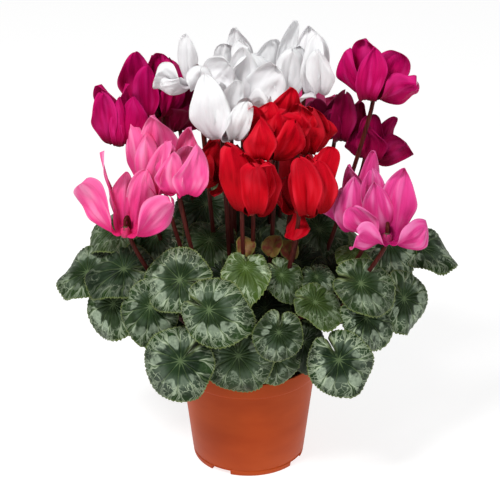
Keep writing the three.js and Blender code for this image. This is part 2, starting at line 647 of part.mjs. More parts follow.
for (const name of new Set(leaves.map((leaf) => leaf.name))) {
  const blades = leaves.filter((leaf) => leaf.name === name);
  const solid = clearOf(union(blades.map((leaf) => bladeSolid(leaf, 0))), placed);
  placed.push(...blades.map((leaf) => bladeSolid(leaf, GAP)));
  group.add(meshOf(name, solid, name.startsWith('young') ? 'young' : 'leaf', 0.6));
}
for (const name of new Set(blooms.map((bloom) => bloom.name))) {
  const heads = blooms.filter((bloom) => bloom.name === name);
  const solid = clearOf(union(heads.map((bloom) => bloomSolid(bloom, 0))), placed);
  placed.push(...heads.map((bloom) => bloomSolid(bloom, GAP)));
  group.add(meshOf(name, solid, heads[0].colour, 0.55));
}

export default group;
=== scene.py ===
# Potted cyclamen in full bloom: marbled leaves, nodding blooms and stalks in a terracotta-coloured pot.
# Lengths are in millimetres until a mesh is made. The plant's front faces -Y.
import math

import bmesh
import bpy
import numpy as np
from mathutils import Matrix


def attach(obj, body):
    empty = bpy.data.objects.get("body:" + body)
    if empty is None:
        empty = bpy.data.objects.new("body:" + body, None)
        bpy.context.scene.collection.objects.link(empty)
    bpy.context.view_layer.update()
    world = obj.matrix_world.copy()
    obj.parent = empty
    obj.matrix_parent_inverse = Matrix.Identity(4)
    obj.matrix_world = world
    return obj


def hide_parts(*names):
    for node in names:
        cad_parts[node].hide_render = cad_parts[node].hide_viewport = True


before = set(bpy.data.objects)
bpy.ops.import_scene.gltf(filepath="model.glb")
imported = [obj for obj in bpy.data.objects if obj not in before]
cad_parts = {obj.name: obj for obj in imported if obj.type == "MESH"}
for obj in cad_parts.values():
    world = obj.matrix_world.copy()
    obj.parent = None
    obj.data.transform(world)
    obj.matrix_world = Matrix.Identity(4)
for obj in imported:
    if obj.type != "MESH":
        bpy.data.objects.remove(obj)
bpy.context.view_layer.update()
MM = 0.001
SEED = 7

# Driving dimensions of the pot and its filling, as in the solids
POT_HEIGHT = 96
RIM_RADIUS = 60
COLLAR_HEIGHT = 14
COLLAR_PROUD = 1.2
FOOT_RADIUS = 48.6
BODY_TOP_RADIUS = 58
WALL = 1.6
FLOOR_UNDERSIDE = 5
FLOOR_TOP = 6.6
FOOT_WIDTH = 4.5
REST_PAD_RADIUS = 13
NOTCH_WIDTH = 19
NOTCH_HEIGHT = 4.4
NOTCH_ANGLES = (-120, -30, 60, 150)
DRAIN_RADIUS = 4
DRAIN_RING_RADIUS = 28
SOIL_LEVEL = 84
SOIL_RADIUS = 55

# Driving dimensions of the plant, as in the solids
TUBER_RADIUS = 27
TUBER_HALF_HEIGHT = 17
TUBER_CENTRE = SOIL_LEVEL + 2
ROOT_RISE = 0.5 * TUBER_HALF_HEIGHT
LEAF_STALK_RADIUS = 1.5
YOUNG_STALK_SHARE = 0.7
LEAF_ROOT_SPREAD = 17
LEAF_STALK_APPROACH = 12
LEAF_STALK_BULGE = 0.12
BLADE_THICKNESS = 0.8
SEAT_RING = 0.58
SEAT_SHARE = 0.16
SLIT_HALF_ANGLE = 0.035
BLADE_SOFT_MIDDLE = 0.04
BLADE_FOLD = 0.14
BLADE_DOME = 0.1
BLADE_DROOP = 0.25
BLADE_WAVE = 0.035
WAVES = 5
WAVE_STEP = 1.7
TEETH_PER_MM = 1.05
TOOTH_HEIGHT = 0.042
FLOWER_STALK_RADIUS = 1.75
FLOWER_ROOT_SPREAD = 9
STALK_LEAN = 0.56
STALK_LOW_SHARE = 0.36
STALK_HIGH_LEAN = 0.55
STALK_HIGH_SHARE = 0.5
HOOK_REACH = 8
HOOK_START = -5
HOOK_SHOULDER = 8
HOOK_TOP = 12.5
HOOK_GAP = 90
HOOK_BEHIND = 25
CALYX_HEIGHT = 6
PETAL_BASE = 3
PETAL_START = 115
PETAL_SWEEP = 5
PETAL_CURL = 18
PETAL_SHIFT = 0.35
PETAL_TWIST_RATE = 3
PETAL_THICKNESS = 0.55

# The petals' finer form, which is in this scene alone
PETAL_CUP = 0.2
PETAL_POINTS = (0.42, 0.5, 0.6, 0.9)
LONG_PETAL = 1.2
PETAL_TIP_TURN = 34
PETAL_UNEVEN = 0.14
PETAL_LEAN = 0.26
PETAL_FOLD = 0.17
PETAL_ROLL = 0.3
PETAL_RUFFLE = 0.11
PETAL_RECURVE = 0.3
PETAL_RIPPLE = 0.012
PETAL_FURROW = 0.013
PETAL_DENT = 0.035

# How finely meshes are divided, and how smoothly the pot is shaded
POT_SHARP_ANGLE = 35
POT_SEGMENTS = 128
DRAIN_SEGMENTS = 24
SOIL_SEGMENTS = 96
TUBER_SEGMENTS = 48
CRUMBS = 170
CRUMB_REACH = 51
CRUMB_SEGMENTS = 7
LEAF_STALK_SIDES = 8
FLOWER_STALK_SIDES = 10
PETAL_ROWS = 37
PETAL_COLUMNS = 21
LINE_STEPS = 160
YOUNG_GRID = (48, 8)
HIDDEN_GRID = (112, 12)
FRONT_GRID = (160, 17)
BACK_ROW = 50

# One row for each leaf: node, place of the blade's base, width, heading and rise of its upper face,
# how far its tip is turned from straight downhill, and how much a young one is folded. Blades that share
# a node have grown together.
LEAVES = [
    ("leaf_left_top", (-108, 6, 212), 51, -130, 60, -62),
    ("leaf_left_wide", (-103, -32, 190), 57, -112, 60, -78),
    ("leaves_left_far", (-136, -8, 176), 52, -125, 52, -84),
    ("leaves_left_far", (-112, -36, 160), 51, -120, 28, -30),
    ("leaves_front_left", (-80, -60, 169), 49, -98, 24, -8),
    ("leaves_front_left", (-55, -68, 197), 55, -112, 34, -88),
    ("leaf_rim_left", (-55, -84, 132), 60, -106, 18, -38),
    ("leaf_front_tall", (-31, -92, 182), 54, -106, 24, 70),
    ("leaf_front_bright", (-2, -60, 204), 41, -90, 64, 0),
    ("leaf_front_folded", (27, -50, 193), 35, -70, 44, 22),
    ("leaf_front_low", (24, -100, 166), 40, -92, 16, -6),
    ("leaf_front_right", (54, -70, 178), 40, -66, 58, 52),
    ("leaf_right_small", (56, -40, 187), 29, -82, 54, 15),
    ("leaf_right_wide", (91, -60, 190), 49, -74, 42, 60),
    ("leaves_right_low", (129, -36, 165), 52, -52, 22, 28),
    ("leaves_right_far", (117, -10, 186), 46, -58, 46, 40),
    ("leaf_rim_right", (73, -88, 135), 54, -80, 18, 24),
    ("leaves_right_low", (96, -61, 160), 47, -64, 30, 36),
    ("leaves_right_far", (147, 8, 192), 55, -58, 68, 78),
    ("leaves_right_far", (117, -8, 203), 49, -64, 50, 20),
    ("leaf_right_pale", (88, -20, 199), 34, -88, 70, 20),
    ("leaf_rim_front", (-8, -82, 136), 56, -94, 12, 4),
    ("leaf_rim_middle", (20, -70, 130), 44, -82, 14, 12),
    ("leaf_centre_top", (-36, 36, 220), 54, -104, 46, -22),
    ("leaf_centre_left", (-32, -4, 204), 49, -96, 58, -16),
    ("leaf_centre_right", (60, 14, 206), 46, -76, 48, 22),
    ("leaf_left_inner", (-77, 2, 206), 48, -106, 46, -16),
    ("leaves_centre_back", (14, 42, 213), 54, -84, 58, 24),
    ("leaves_back_right", (78, 84, 184), 54, 42, 42, 10),
    ("leaves_back_middle", (20, 104, 180), 54, 82, 42, -12),
    ("leaves_back_left", (-42, 102, 180), 54, 112, 42, 8),
    ("leaves_back_far_left", (-92, 64, 188), 54, 148, 44, 0),
    ("leaves_back_left", (-70, 98, 147), 54, 130, 24, -8),
    ("leaf_back_low", (-14, 116, 140), 54, 95, 22, 12),
    ("leaves_back_middle", (50, 110, 141), 52, 60, 20, 0),
    ("leaf_back_far_right", (110, 54, 150), 52, 20, 24, -6),
    ("leaves_back_far_left", (-117, 34, 157), 52, 178, 28, 6),
    ("leaves_centre_back", (2, 62, 219), 50, 88, 60, 0),
    ("leaves_back_right", (60, 62, 213), 48, 55, 58, 0),
    ("young_leaf_left", (-3, -34, 210), 17, -70, 40, 160, 0.7),
    ("young_leaf_middle", (20, -30, 208), 18, -120, 30, 175, 0.7),
    ("young_leaf_right", (33, -22, 201), 18, -60, 35, 190, 0.7),
]

# Leaves low between the others, in the shade: the same values without a node
INNER = "leaves_inner"
INNER_LEAVES = [
    ((10, -2, 194), 52, -92, 44, 10),
    ((42, -10, 186), 48, -80, 44, -8),
    ((-20, -28, 182), 48, -100, 40, 6),
    ((72, -20, 178), 46, -70, 44, 8),
    ((-62, -22, 184), 46, -110, 48, 0),
    ((-4, 40, 222), 46, -96, 56, 0),
    ((62, 30, 216), 44, -80, 56, 0),
    ((46, -30, 160), 46, -84, 40, 0),
    ((14, -44, 160), 44, -95, 40, 0),
    ((46, -58, 136), 38, -75, 34, 10),
    ((-88, 22, 172), 42, -120, 46, 0),
    ((-52, -16, 137), 40, -110, 40, 0),
]

# One row for each bloom: node, colour, place of its mouth, petal length and width, and its petals.
# A petal is its heading, how far it opens from upright, its twist, and its share of length and width.
BLOOMS = [
    ("magenta_left_front", "magenta", (-105, -5, 291), 50, 27,
     ((130, 2, -40, 1.05, 0.95), (-150, 6, 60, 1, 0.85), (-95, -6, 8, 0.86, 0.6),
      (-30, 6, -62, 0.92, 0.9), (75, 10, 80, 1, 0.9))),
    ("magenta_left_rear", "magenta", (-78, 26, 303), 52, 27,
     ((158, 9, 112, 1.12, 1.05), (60, 6, 30, 1.05, 0.95), (-125, -4, 35, 0.95, 0.85),
      (-10, 14, -80, 0.95, 0.9), (100, 10, 70, 1, 1))),
    ("magenta_left_inner", "magenta", (-64, 44, 286), 52, 28,
     ((0, 50, -75, 0.85, 1.1), (80, 4, 30, 1.2, 0.7), (-50, 35, -35, 0.85, 1.05),
      (150, 15, 60, 0.9, 1), (-120, 15, 30, 0.75, 1))),
    ("white_left", "white", (-42, -2, 341), 52, 29,
     ((180, 60, 90, 0.58, 1.05), (130, 1, -40, 0.82, 0.55), (22, 48, 66, 0.52, 0.95),
      (-150, 84, 60, 0.46, 0.65), (-75, 8, -15, 0.42, 0.8))),
    ("white_front", "white", (-17, -26, 303), 54, 30,
     ((-150, 8, 58, 1.05, 1.05), (-50, 10, -40, 0.68, 0.78), (90, 2, 0, 0.9, 0.85),
      (30, 15, 60, 0.7, 0.85), (150, 10, 20, 0.85, 0.9))),
    ("white_middle", "white", (-9, 14, 316), 54, 31,
     ((10, 30, 80, 0.84, 1.1), (60, 6, 30, 0.93, 0.85), (130, 2, -40, 0.65, 0.8),
      (-35, 64, -50, 0.6, 0.8), (95, 8, 75, 0.8, 0.9))),
    ("white_top", "white", (-13, 54, 317), 52, 30,
     ((62, 3, 28, 1.05, 0.85), (160, 18, 108, 0.6, 0.9), (110, 0, -20, 0.8, 1),
      (-150, 5, 50, 0.6, 0.9), (-30, 6, 10, 0.8, 0.9))),
    ("whites_right", "white", (26, 36, 319), 56, 30,
     ((72, 8, 18, 1.14, 0.58), (130, 5, -40, 0.85, 1), (170, 18, 100, 0.72, 0.95),
      (10, 2, 80, 0.85, 0.9), (-60, 4, -30, 0.85, 1))),
    ("whites_right", "white", (54, 27, 326), 54, 30,
     ((112, 3, -20, 1.02, 1.05), (62, 10, 28, 0.85, 0.6), (-115, -4, 25, 0.95, 0.65),
      (-60, 3, -35, 0.74, 0.75), (-125, 112, 30, 0.48, 0.75))),
    ("pink_left_front", "pink", (-99, -48, 229), 52, 29,
     ((168, 24, 98, 1.06, 1), (135, 17, 62, 1.35, 0.75), (100, 8, -10, 1, 0.75),
      (45, 6, 50, 1.1, 0.9), (-12, 40, -75, 0.98, 1))),
    ("pink_left_rear", "pink", (-75, -20, 254), 54, 31,
     ((165, 13, 70, 1.14, 0.65), (85, -2, 5, 1.26, 1.2), (-110, -6, 20, 0.95, 0.9),
      (-50, 4, -40, 0.95, 1), (120, 12, 60, 0.95, 0.9))),
    ("pink_left_inner", "pink", (-53, -52, 267), 52, 30,
     ((70, 4, 20, 1.05, 0.8), (-55, 8, -30, 0.82, 1), (40, 0, 50, 0.8, 0.9),
      (150, 5, 60, 0.85, 0.9), (-140, 6, 45, 0.7, 0.9))),
    ("red_front", "red", (2, -54, 251), 56, 30,
     ((-165, 0, 76, 1.08, 0.9), (-65, 0, -25, 0.88, 0.85), (15, 5, 78, 0.84, 0.9),
      (55, 2, 35, 0.8, 0.9), (110, -2, -20, 0.92, 0.95))),
    ("red_middle", "red", (12, -34, 290), 54, 30,
     ((125, 2, -35, 0.82, 0.9), (25, 22, -85, 0.62, 1), (-8, 36, -80, 0.72, 1),
      (-110, 0, 20, 0.6, 0.9), (80, 8, 90, 0.75, 1))),
    ("red_top", "red", (29, -26, 305), 52, 31,
     ((90, -2, 0, 0.78, 1.05), (165, 6, -70, 0.58, 0.85), (20, 6, 70, 0.56, 0.85),
      (-100, -2, 0, 0.5, 1), (-40, 10, -50, 0.5, 0.8))),
    ("red_right_top", "red", (47, -14, 288), 52, 30,
     ((50, 4, 40, 0.72, 1), (-90, 4, 0, 0.66, 0.9), (130, 2, -40, 0.52, 0.9),
      (15, 4, -100, 0.55, 0.8), (-135, 6, 45, 0.6, 0.85))),
    ("red_right", "red", (48, -52, 250), 56, 31,
     ((-100, 0, 8, 1.02, 0.92), (-20, 5, -70, 0.85, 0.8), (40, 8, 50, 1.02, 0.72),
      (120, 0, -30, 0.85, 0.95), (80, 8, 90, 0.85, 0.9))),
    ("red_small", "red", (41, -36, 243), 36, 23,
     ((-95, 125, 0, 0.74, 1), (150, 15, 60, 0.85, 1), (110, 8, -20, 0.85, 0.9),
      (40, 10, 50, 0.8, 0.8), (0, 14, 0, 0.7, 0.8))),
    ("red_left", "red", (-20, -14, 262), 46, 26,
     ((180, 36, 88, 0.46, 1.05), (-110, 120, 20, 0.42, 0.6), (90, 4, 0, 0.8, 1),
      (20, 10, 70, 0.7, 1), (140, 12, -50, 0.75, 1.05))),
    ("magenta_right_top", "magenta", (99, 2, 328), 54, 29,
     ((100, -2, -10, 0.92, 1.1), (-110, -5, 20, 0.84, 1.05), (38, 14, 62, 0.78, 1.05),
      (-15, 64, -72, 0.7, 1.05), (165, 24, 80, 0.78, 0.8))),
    ("magenta_right_inner", "magenta", (78, 36, 281), 52, 28,
     ((-95, -4, 5, 0.9, 0.88), (90, 0, 0, 0.75, 0.95), (168, 24, 98, 0.74, 0.8),
      (30, 4, 60, 0.7, 0.8), (-150, 8, 60, 0.6, 0.8))),
    ("magenta_right_low", "magenta", (103, 20, 269), 52, 29,
     ((0, 36, 90, 0.54, 1), (40, 16, 50, 0.76, 0.5), (100, 0, -10, 0.74, 0.9),
      (170, 16, 100, 0.5, 0.7), (-90, -4, 0, 0.68, 0.9))),
    ("rose_right_front", "rose", (91, -40, 230), 56, 32,
     ((-140, 10, 48, 0.84, 0.92), (115, 2, -25, 1, 0.78), (60, 6, 30, 1.2, 0.55),
      (-40, 4, -50, 1.05, 0.65), (170, 8, 75, 0.7, 0.9))),
    ("rose_right", "rose", (110, -66, 231), 56, 33,
     ((50, 7, 40, 1.1, 0.9), (-15, 52, -75, 0.54, 0.95), (-145, 60, 54, 0.56, 0.95),
      (115, 2, -25, 0.9, 0.8), (175, 20, 95, 0.7, 0.8))),
    ("red_back", "red", (33, 34, 238), 52, 30,
     ((-90, 3, 0, 0.66, 1), (150, 10, 66, 0.75, 0.95), (30, 10, 60, 0.7, 0.95),
      (90, 6, 10, 0.8, 1), (-20, 12, -60, 0.66, 0.9))),
    ("magenta_left_inner", "magenta", (-42, 65, 281), 52, 28,
     ((100, 12, -10, 0.95, 1), (170, 18, 70, 0.9, 1), (30, 8, 60, 0.9, 1),
      (-120, 4, 30, 0.85, 1), (-50, 4, -30, 0.85, 1))),
    ("pink_back", "pink", (48, 84, 264), 52, 30,
     ((80, 14, 10, 1, 1), (10, 20, 75, 0.9, 1.05), (150, 8, 60, 0.85, 1),
      (-130, 6, 30, 0.8, 1), (-60, 6, -30, 0.85, 1))),
]

# How light the petals of the shaded blooms are; the others have 1
BLOOM_SHADES = {
    "magenta_left_inner": 0.6,
    "magenta_right_inner": 0.6,
    "magenta_right_low": 0.68,
    "red_left": 0.72,
    "red_right_top": 0.9,
    "red_back": 0.6,
    "red_small": 0.8,
    "pink_back": 0.6,
}

# How the leaves differ: brightness, yellow and silver, each as a share of the common blade; the inner
# leaves' low brightness is painted shade
LEAF_TONES = {
    "leaf_front_bright": (1.7, 0.55, 0.7),
    "leaf_front_right": (1.1, 0.5, 0.2),
    "leaf_right_pale": (1.5, 0.9, 0.2),
    "leaf_front_folded": (1, 0.3, 0.5),
    "leaf_left_wide": (0.95, 0, 0.35),
    "leaf_left_top": (0.9, 0.2, 0.3),
    "leaf_rim_left": (1, 0, 1),
    "leaf_front_tall": (1, 0.1, 1),
    "leaf_rim_right": (1, 0, 0.9),
    "leaf_right_wide": (1, 0.1, 0.55),
    "leaf_centre_top": (0.7, 0.1, 0.2),
    "leaf_centre_left": (0.8, 0.2, 0.25),
    "leaf_centre_right": (0.75, 0.2, 0.3),
    # Painted shade: the inner leaves are darkened to 0.4
    INNER: (0.4, 0.1, 0.15),
}
COMMON_TONE = (1, 0.12, 0.75)
TONE_SPREAD = (0.12, 0.5, 0.3)

# Leaf veins: their step in angle, how far they bend forward, and where and how wide they fork
VEIN_STEP = 0.62
VEIN_BEND = 0.1
FORK_START = 0.42
FORK_SPREAD = 0.26


def direction(heading, rise):
    heading, rise = math.radians(heading), math.radians(rise)
    level = math.cos(rise)
    return np.array([level * math.cos(heading), level * math.sin(heading), math.sin(rise)])


def smoothstep(value, low, high):
    share = np.clip((value - low) / (high - low), 0, 1)
    return share * share * (3 - 2 * share)


def unit(vectors):
    return vectors / np.maximum(np.linalg.norm(vectors, axis=-1, keepdims=True), 1e-12)


def put(name, data):
    made = bpy.data.objects.new(name, data)
    bpy.context.scene.collection.objects.link(made)
    return made


# Meshes
def grid_quads(rows, columns, start=0):
    """Quads between the points of a grid, counted row by row."""
    at = start + np.arange(rows * columns).reshape(rows, columns)
    return np.stack([at[:-1, :-1], at[:-1, 1:], at[1:, 1:], at[1:, :-1]], axis=-1).reshape(-1, 4)


def grid_rim(rows, columns):
    """The points round a grid, in the direction of its quads."""
    at = np.arange(rows * columns).reshape(rows, columns)
    return np.concatenate([at[0], at[1:, -1], at[-1, -2::-1], at[-2:0:-1, 0]])


def ring_faces(rings, sides):
    """Faces of a closed round body: quads between its rings, and a fan to each of its two end points."""
    at = np.arange(rings * sides).reshape(rings, sides)
    following = np.roll(at, -1, axis=1)
    quads = np.stack([at[:-1], following[:-1], following[1:], at[1:]], axis=-1).reshape(-1, 4)
    low = np.full(sides, rings * sides)
    first = np.stack([low, following[0], at[0]], axis=1)
    last = np.stack([low + 1, at[-1], following[-1]], axis=1)
    return quads, np.concatenate([first, last])


def sheet_normals(points, blocks):
    normals = np.zeros_like(points)
    for faces in blocks:
        first, second, third, last = (points[faces[:, corner]] for corner in (0, 1, 2, -1))
        face = np.cross(third - first, last - second)
        for corner in range(faces.shape[1]):
            np.add.at(normals, faces[:, corner], face)
    return unit(normals)


class Shape:
    """Points and faces gathered into one mesh, with point attributes and a material for each face."""

    def __init__(self):
        self.points = []
        self.spots = []
        self.tones_and_shades = []
        self.faces = []
        self.finishes = []
        self.count = 0

    def add(self, points, blocks, spots=0, tone=0):
        """Adds points with blocks of faces, each of which comes with the number of its material."""
        for faces, finish in blocks:
            self.faces.append(faces + self.count)
            self.finishes.append(np.full(len(faces), finish))
        self.points.append(points)
        self.spots.append(np.zeros_like(points) + spots)
        self.tones_and_shades.append(np.zeros_like(points) + tone)
        self.count += len(points)

    def add_sheet(self, points, blocks, rim, thickness, finishes, spots, tone):
        """A closed thin solid round a sheet: its upper side, its lower side and its rim."""
        half = 0.5 * thickness[:, None] * sheet_normals(points, blocks)
        count = len(points)
        following = np.roll(rim, -1)
        sides = np.stack([following, rim, rim + count, following + count], axis=1)
        upper, lower = finishes
        faces = [(block, upper) for block in [*blocks, sides]]
        faces += [(block[:, ::-1] + count, lower) for block in blocks]
        both = np.concatenate([points + half, points - half])
        self.add(both, faces, np.concatenate([spots, spots]), tone)

    def piece(self, name, materials, slot, nodes=()):
        mesh = bpy.data.meshes.new(name)
        faces = [face for block in self.faces for face in block.tolist()]
        mesh.from_pydata(np.concatenate(self.points) * MM, [], faces)
        mesh.polygons.foreach_set("material_index", np.concatenate(self.finishes).astype(np.int32))
        mesh.shade_smooth()
        for key, blocks in (("spot", self.spots), ("tone", self.tones_and_shades)):
            attribute = mesh.attributes.new(key, "FLOAT_VECTOR", "POINT")
            attribute.data.foreach_set("vector", np.concatenate(blocks).astype(np.float32).ravel())
        mesh.validate()
        for material in materials:
            mesh.materials.append(material)
        made = put(name, mesh)
        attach(made, "root")
        if nodes:
            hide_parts(*nodes)
        return made


# Materials
class Value:
    """The result of a material's node, which can be used in formulas."""

    def __init__(self, finish, socket):
        self.finish = finish
        self.socket = socket

    def __add__(self, other):
        return self.finish.math("ADD", self, other)

    def __sub__(self, other):
        return self.finish.math("SUBTRACT", self, other)

    def __mul__(self, other):
        return self.finish.math("MULTIPLY", self, other)

    def __abs__(self):
        return self.finish.math("ABSOLUTE", self)

    def clamped(self):
        return self.finish.math("MULTIPLY", self, 1, clamp=True)

    def smooth(self, low, high, start=0, end=1):
        """A smooth step from start to end while this value goes from low to high."""
        numbers = (low, high, start, end)
        return self.finish.add("ShaderNodeMapRange", self, *numbers, interpolation_type="SMOOTHSTEP")


class Finish:
    """A material whose nodes are added by short calls, most of which give a Value."""

    def __init__(self, name, roughness, specular):
        self.material = bpy.data.materials.new(name)
        self.material.use_nodes = True
        self.tree = self.material.node_tree
        self.shader = self.tree.nodes["Principled BSDF"]
        self.set({"Roughness": roughness, "Specular IOR Level": specular})

    def feed(self, socket, value):
        if isinstance(value, Value):
            self.tree.links.new(value.socket, socket)
        elif socket.type == "RGBA":
            socket.default_value = (*value, 1)
        else:
            socket.default_value = value

    def set(self, named):
        """Feeds the named inputs of the surface."""
        for key, value in named.items():
            self.feed(self.shader.inputs[key], value)

    def add(self, kind, *values, named=None, output=0, **settings):
        """The result of a new node, after its first inputs and its named inputs are fed."""
        made = self.tree.nodes.new(kind)
        for key, value in settings.items():
            setattr(made, key, value)
        for key, value in [*enumerate(values), *(named or {}).items()]:
            self.feed(made.inputs[key], value)
        return Value(self, made.outputs[output])

    def math(self, operation, *values, clamp=False):
        return self.add("ShaderNodeMath", *values, operation=operation, use_clamp=clamp)

    def mix(self, factor, first, second):
        return self.add("ShaderNodeMix", factor, named={6: first, 7: second}, output=2, data_type="RGBA")

    def layers(self, colour, *over):
        """A colour with others laid over it in turn, each with its share."""
        for share, laid in over:
            colour = self.mix(share, colour, laid)
        return colour

    def scaled(self, vector, factor):
        return self.add("ShaderNodeVectorMath", vector, named={"Scale": factor}, operation="SCALE")

    def attribute(self, name):
        return self.add("ShaderNodeAttribute", output="Vector", attribute_name=name)

    def parts(self, vector):
        first = self.add("ShaderNodeSeparateXYZ", vector)
        return [Value(self, output) for output in first.socket.node.outputs]

    def place(self):
        return self.add("ShaderNodeTexCoord", output="Object")

    def stretched(self, vector, scale, shift=(0, 0, 0)):
        return self.add("ShaderNodeMapping", vector, shift, named={"Scale": scale})

    def noise(self, vector, scale, detail=3, roughness=0.5, output="Fac"):
        named = {"Scale": scale, "Detail": detail, "Roughness": roughness}
        return self.add("ShaderNodeTexNoise", vector, named=named, output=output)

    def bump(self, height, strength, distance):
        named = {"Height": height, "Strength": strength, "Distance": distance * MM}
        self.set({"Normal": self.add("ShaderNodeBump", named=named)})

    def colour(self, value):
        self.set({"Base Color": value})


def leaf_finish():
    """Silver patches between the main veins, jagged outwards, then dark cells in a pale net of veins."""
    finish = Finish("leaf_marbled", 0.45, 0.13)
    spot = finish.attribute("spot")
    x, y, share = finish.parts(spot)
    bright, yellow, silver = finish.parts(finish.attribute("tone"))
    place = finish.place()
    broad = finish.noise(place, 75, 2) - 0.5
    fine = finish.noise(place, 420, 3, 0.6) - 0.5
    other = finish.noise(finish.stretched(place, (1, 1, 1), (3, 5, 7)), 62, 1)
    patches = finish.noise(place, 60, 3)

    # Where a point lies between the main veins, and three chances for each space between two of them
    angle = finish.math("ARCTAN2", x, y)
    steps = angle * (1 / VEIN_STEP) * (share * VEIN_BEND + 1) + broad * share * 0.9
    aside = abs(steps - finish.math("ROUND", steps))
    blade = finish.math("ROUND", bright * 40)
    sector = finish.add("ShaderNodeCombineXYZ", finish.math("FLOOR", steps), blade)
    chance = finish.add("ShaderNodeTexWhiteNoise", sector, output="Color", noise_dimensions="2D")
    presence, inwards, outwards = finish.parts(chance)

    # The main veins, their forks and twigs, and the net between them
    reach = finish.math("SQRT", x * x + y * y)
    from_fork = abs(aside - share.smooth(FORK_START, 1, 0, FORK_SPREAD))
    from_twig = abs(from_fork - share.smooth(0.62, 1.05, 0, 0.5 * FORK_SPREAD))
    main, fork, twig = [
        (away * VEIN_STEP * reach + fine * 0.012).smooth(0.2 * wide, wide, 1, 0)
        for away, wide in ((aside, 0.015), (from_fork, 0.015), (from_twig, 0.012))
    ]
    main = main * share.smooth(0.6, 1, 1, 0.3)
    forked = finish.math("MAXIMUM", fork, twig) * share.smooth(0.45, 0.62)
    forked = forked * patches.smooth(0.32, 0.55, 0.15, 1)
    drift = finish.scaled(finish.noise(place, 240, 2, output="Color"), 0.11)
    bent = finish.add("ShaderNodeVectorMath", finish.stretched(spot, (1, 1, 0)), drift, operation="ADD")
    cells = {"named": {"Scale": 11}, "output": "Distance", "feature": "DISTANCE_TO_EDGE"}
    net = finish.add("ShaderNodeTexVoronoi", bent, **cells).smooth(0, 0.09, 1, 0)
    net = net * share.smooth(0.5, 0.66) * other.smooth(0.4, 0.6)
    fringe = share.smooth(0.5, 0.6) * share.smooth(0.66, 0.86, 1, 0.6)
    threads = finish.math("MAXIMUM", forked, net) * fringe * (silver * 0.6 + 0.25).clamped()

    # The silver patches and the haze inside them
    inner_edge = aside.smooth(0.03, 0.34, 0.53, 0.36) + broad * 0.5 + inwards * 0.16
    outer_edge = other * -0.5 + outwards * 0.26 + 0.83
    blotch = (share - inner_edge).smooth(-0.02, 0.05)
    blotch = blotch * (share + fine * 0.5 - outer_edge).smooth(-0.03, 0.05, 1, 0)
    blotch = blotch * aside.smooth(0.02, 0.1, 0.25, 1) * patches.smooth(0.38, 0.5)
    blotch = blotch * presence.smooth(0.25, 0.6, 0.05, 1) * fine.smooth(-0.3, 0.25, 0.55, 1)
    blotch = (blotch * silver).clamped()
    haze = share.smooth(0.25, 0.5) * share.smooth(0.6, 0.95, 1, 0) * silver * other.smooth(0.35, 0.6)

    # The pale margin, and painted shade where the two lobes meet at the slit
    meeting = y.smooth(-0.3, -0.08, 1, 0)
    seam = abs(x).smooth(0.03, 0.075, 1, 0) * meeting
    painted_cleft_shade = abs(x).smooth(0.02, 0.045, 1, 0) * meeting
    margin = finish.math("MAXIMUM", share.smooth(0.95, 0.985), seam)

    middle = finish.mix(other.smooth(0.35, 0.65), (0.005, 0.016, 0.004), (0.015, 0.036, 0.011))
    outer = finish.mix(patches.smooth(0.3, 0.7), (0.003, 0.012, 0.002), (0.011, 0.036, 0.004))
    colour = finish.layers(
        middle,
        (share.smooth(0.5, 0.72), outer),
        (yellow * 0.8, (0.06, 0.1, 0.014)),
        (haze * 0.3, (0.16, 0.21, 0.16)),
        (blotch * 0.88, (0.35, 0.43, 0.31)),
        (threads, (0.42, 0.5, 0.34)),
        (main * 0.6, (0.13, 0.19, 0.08)),
        (margin * 0.45, (0.2, 0.25, 0.07)),
        # Painted shade along the slit between the lobes: nearly black
        (painted_cleft_shade * 0.9, (0.006, 0.012, 0.004)),
    )
    finish.colour(finish.scaled(colour, bright))
    veins = finish.math("MAXIMUM", main, threads)
    finish.bump(finish.noise(place, 700, 2) - veins * 0.6, 0.4, 0.5)
    return finish.material


def underside_finish():
    finish = Finish("leaf_underside", 0.55, 0.15)
    share = finish.parts(finish.attribute("spot"))[2]
    patches = finish.noise(finish.place(), 80, 3)
    colour = finish.mix(patches, (0.06, 0.1, 0.04), (0.13, 0.13, 0.06))
    finish.colour(finish.mix(share.smooth(0.94, 0.99), colour, (0.24, 0.26, 0.1)))
    finish.bump(finish.noise(finish.place(), 500, 2), 0.25, 0.4)
    return finish.material


def young_finish():
    finish = Finish("young_blade", 0.5, 0.15)
    share = finish.parts(finish.attribute("spot"))[2]
    patches = finish.noise(finish.place(), 160, 3)
    colour = finish.mix(patches.smooth(0.35, 0.65), (0.17, 0.035, 0.022), (0.19, 0.13, 0.03))
    finish.colour(finish.mix(share.smooth(0.85, 1), colour, (0.19, 0.19, 0.045)))
    finish.bump(finish.noise(finish.place(), 600, 2), 0.3, 0.4)
    return finish.material


# Petal colours: at the base, in the middle, at the tip, along the edge and on painted highlights, in the
# throat and on streaks
PETAL_COLOURS = {
    "magenta": (
        (0.16, 0, 0.018), (0.43, 0, 0.08), (0.5, 0.001, 0.117), (0.62, 0.02, 0.2), (0.08, 0, 0.02),
        (0.22, 0, 0.03),
    ),
    "white": (
        (0.68, 0.63, 0.66), (0.84, 0.835, 0.85), (0.88, 0.88, 0.89), (0.9, 0.9, 0.91), (0.3, 0.14, 0.17),
        (0.77, 0.76, 0.78),
    ),
    "pink": (
        (0.72, 0.02, 0.16), (0.82, 0.06, 0.27), (0.86, 0.14, 0.36), (0.9, 0.32, 0.53), (0.35, 0.01, 0.06),
        (0.7, 0.03, 0.19),
    ),
    "red": (
        (0.24, 0, 0.003), (0.5, 0, 0.007), (0.58, 0.001, 0.014), (0.73, 0.02, 0.042), (0.15, 0, 0),
        (0.28, 0, 0.003),
    ),
    "rose": (
        (0.45, 0.01, 0.14), (0.66, 0.035, 0.22), (0.74, 0.07, 0.3), (0.82, 0.26, 0.52), (0.3, 0.005, 0.08),
        (0.5, 0.012, 0.15),
    ),
}


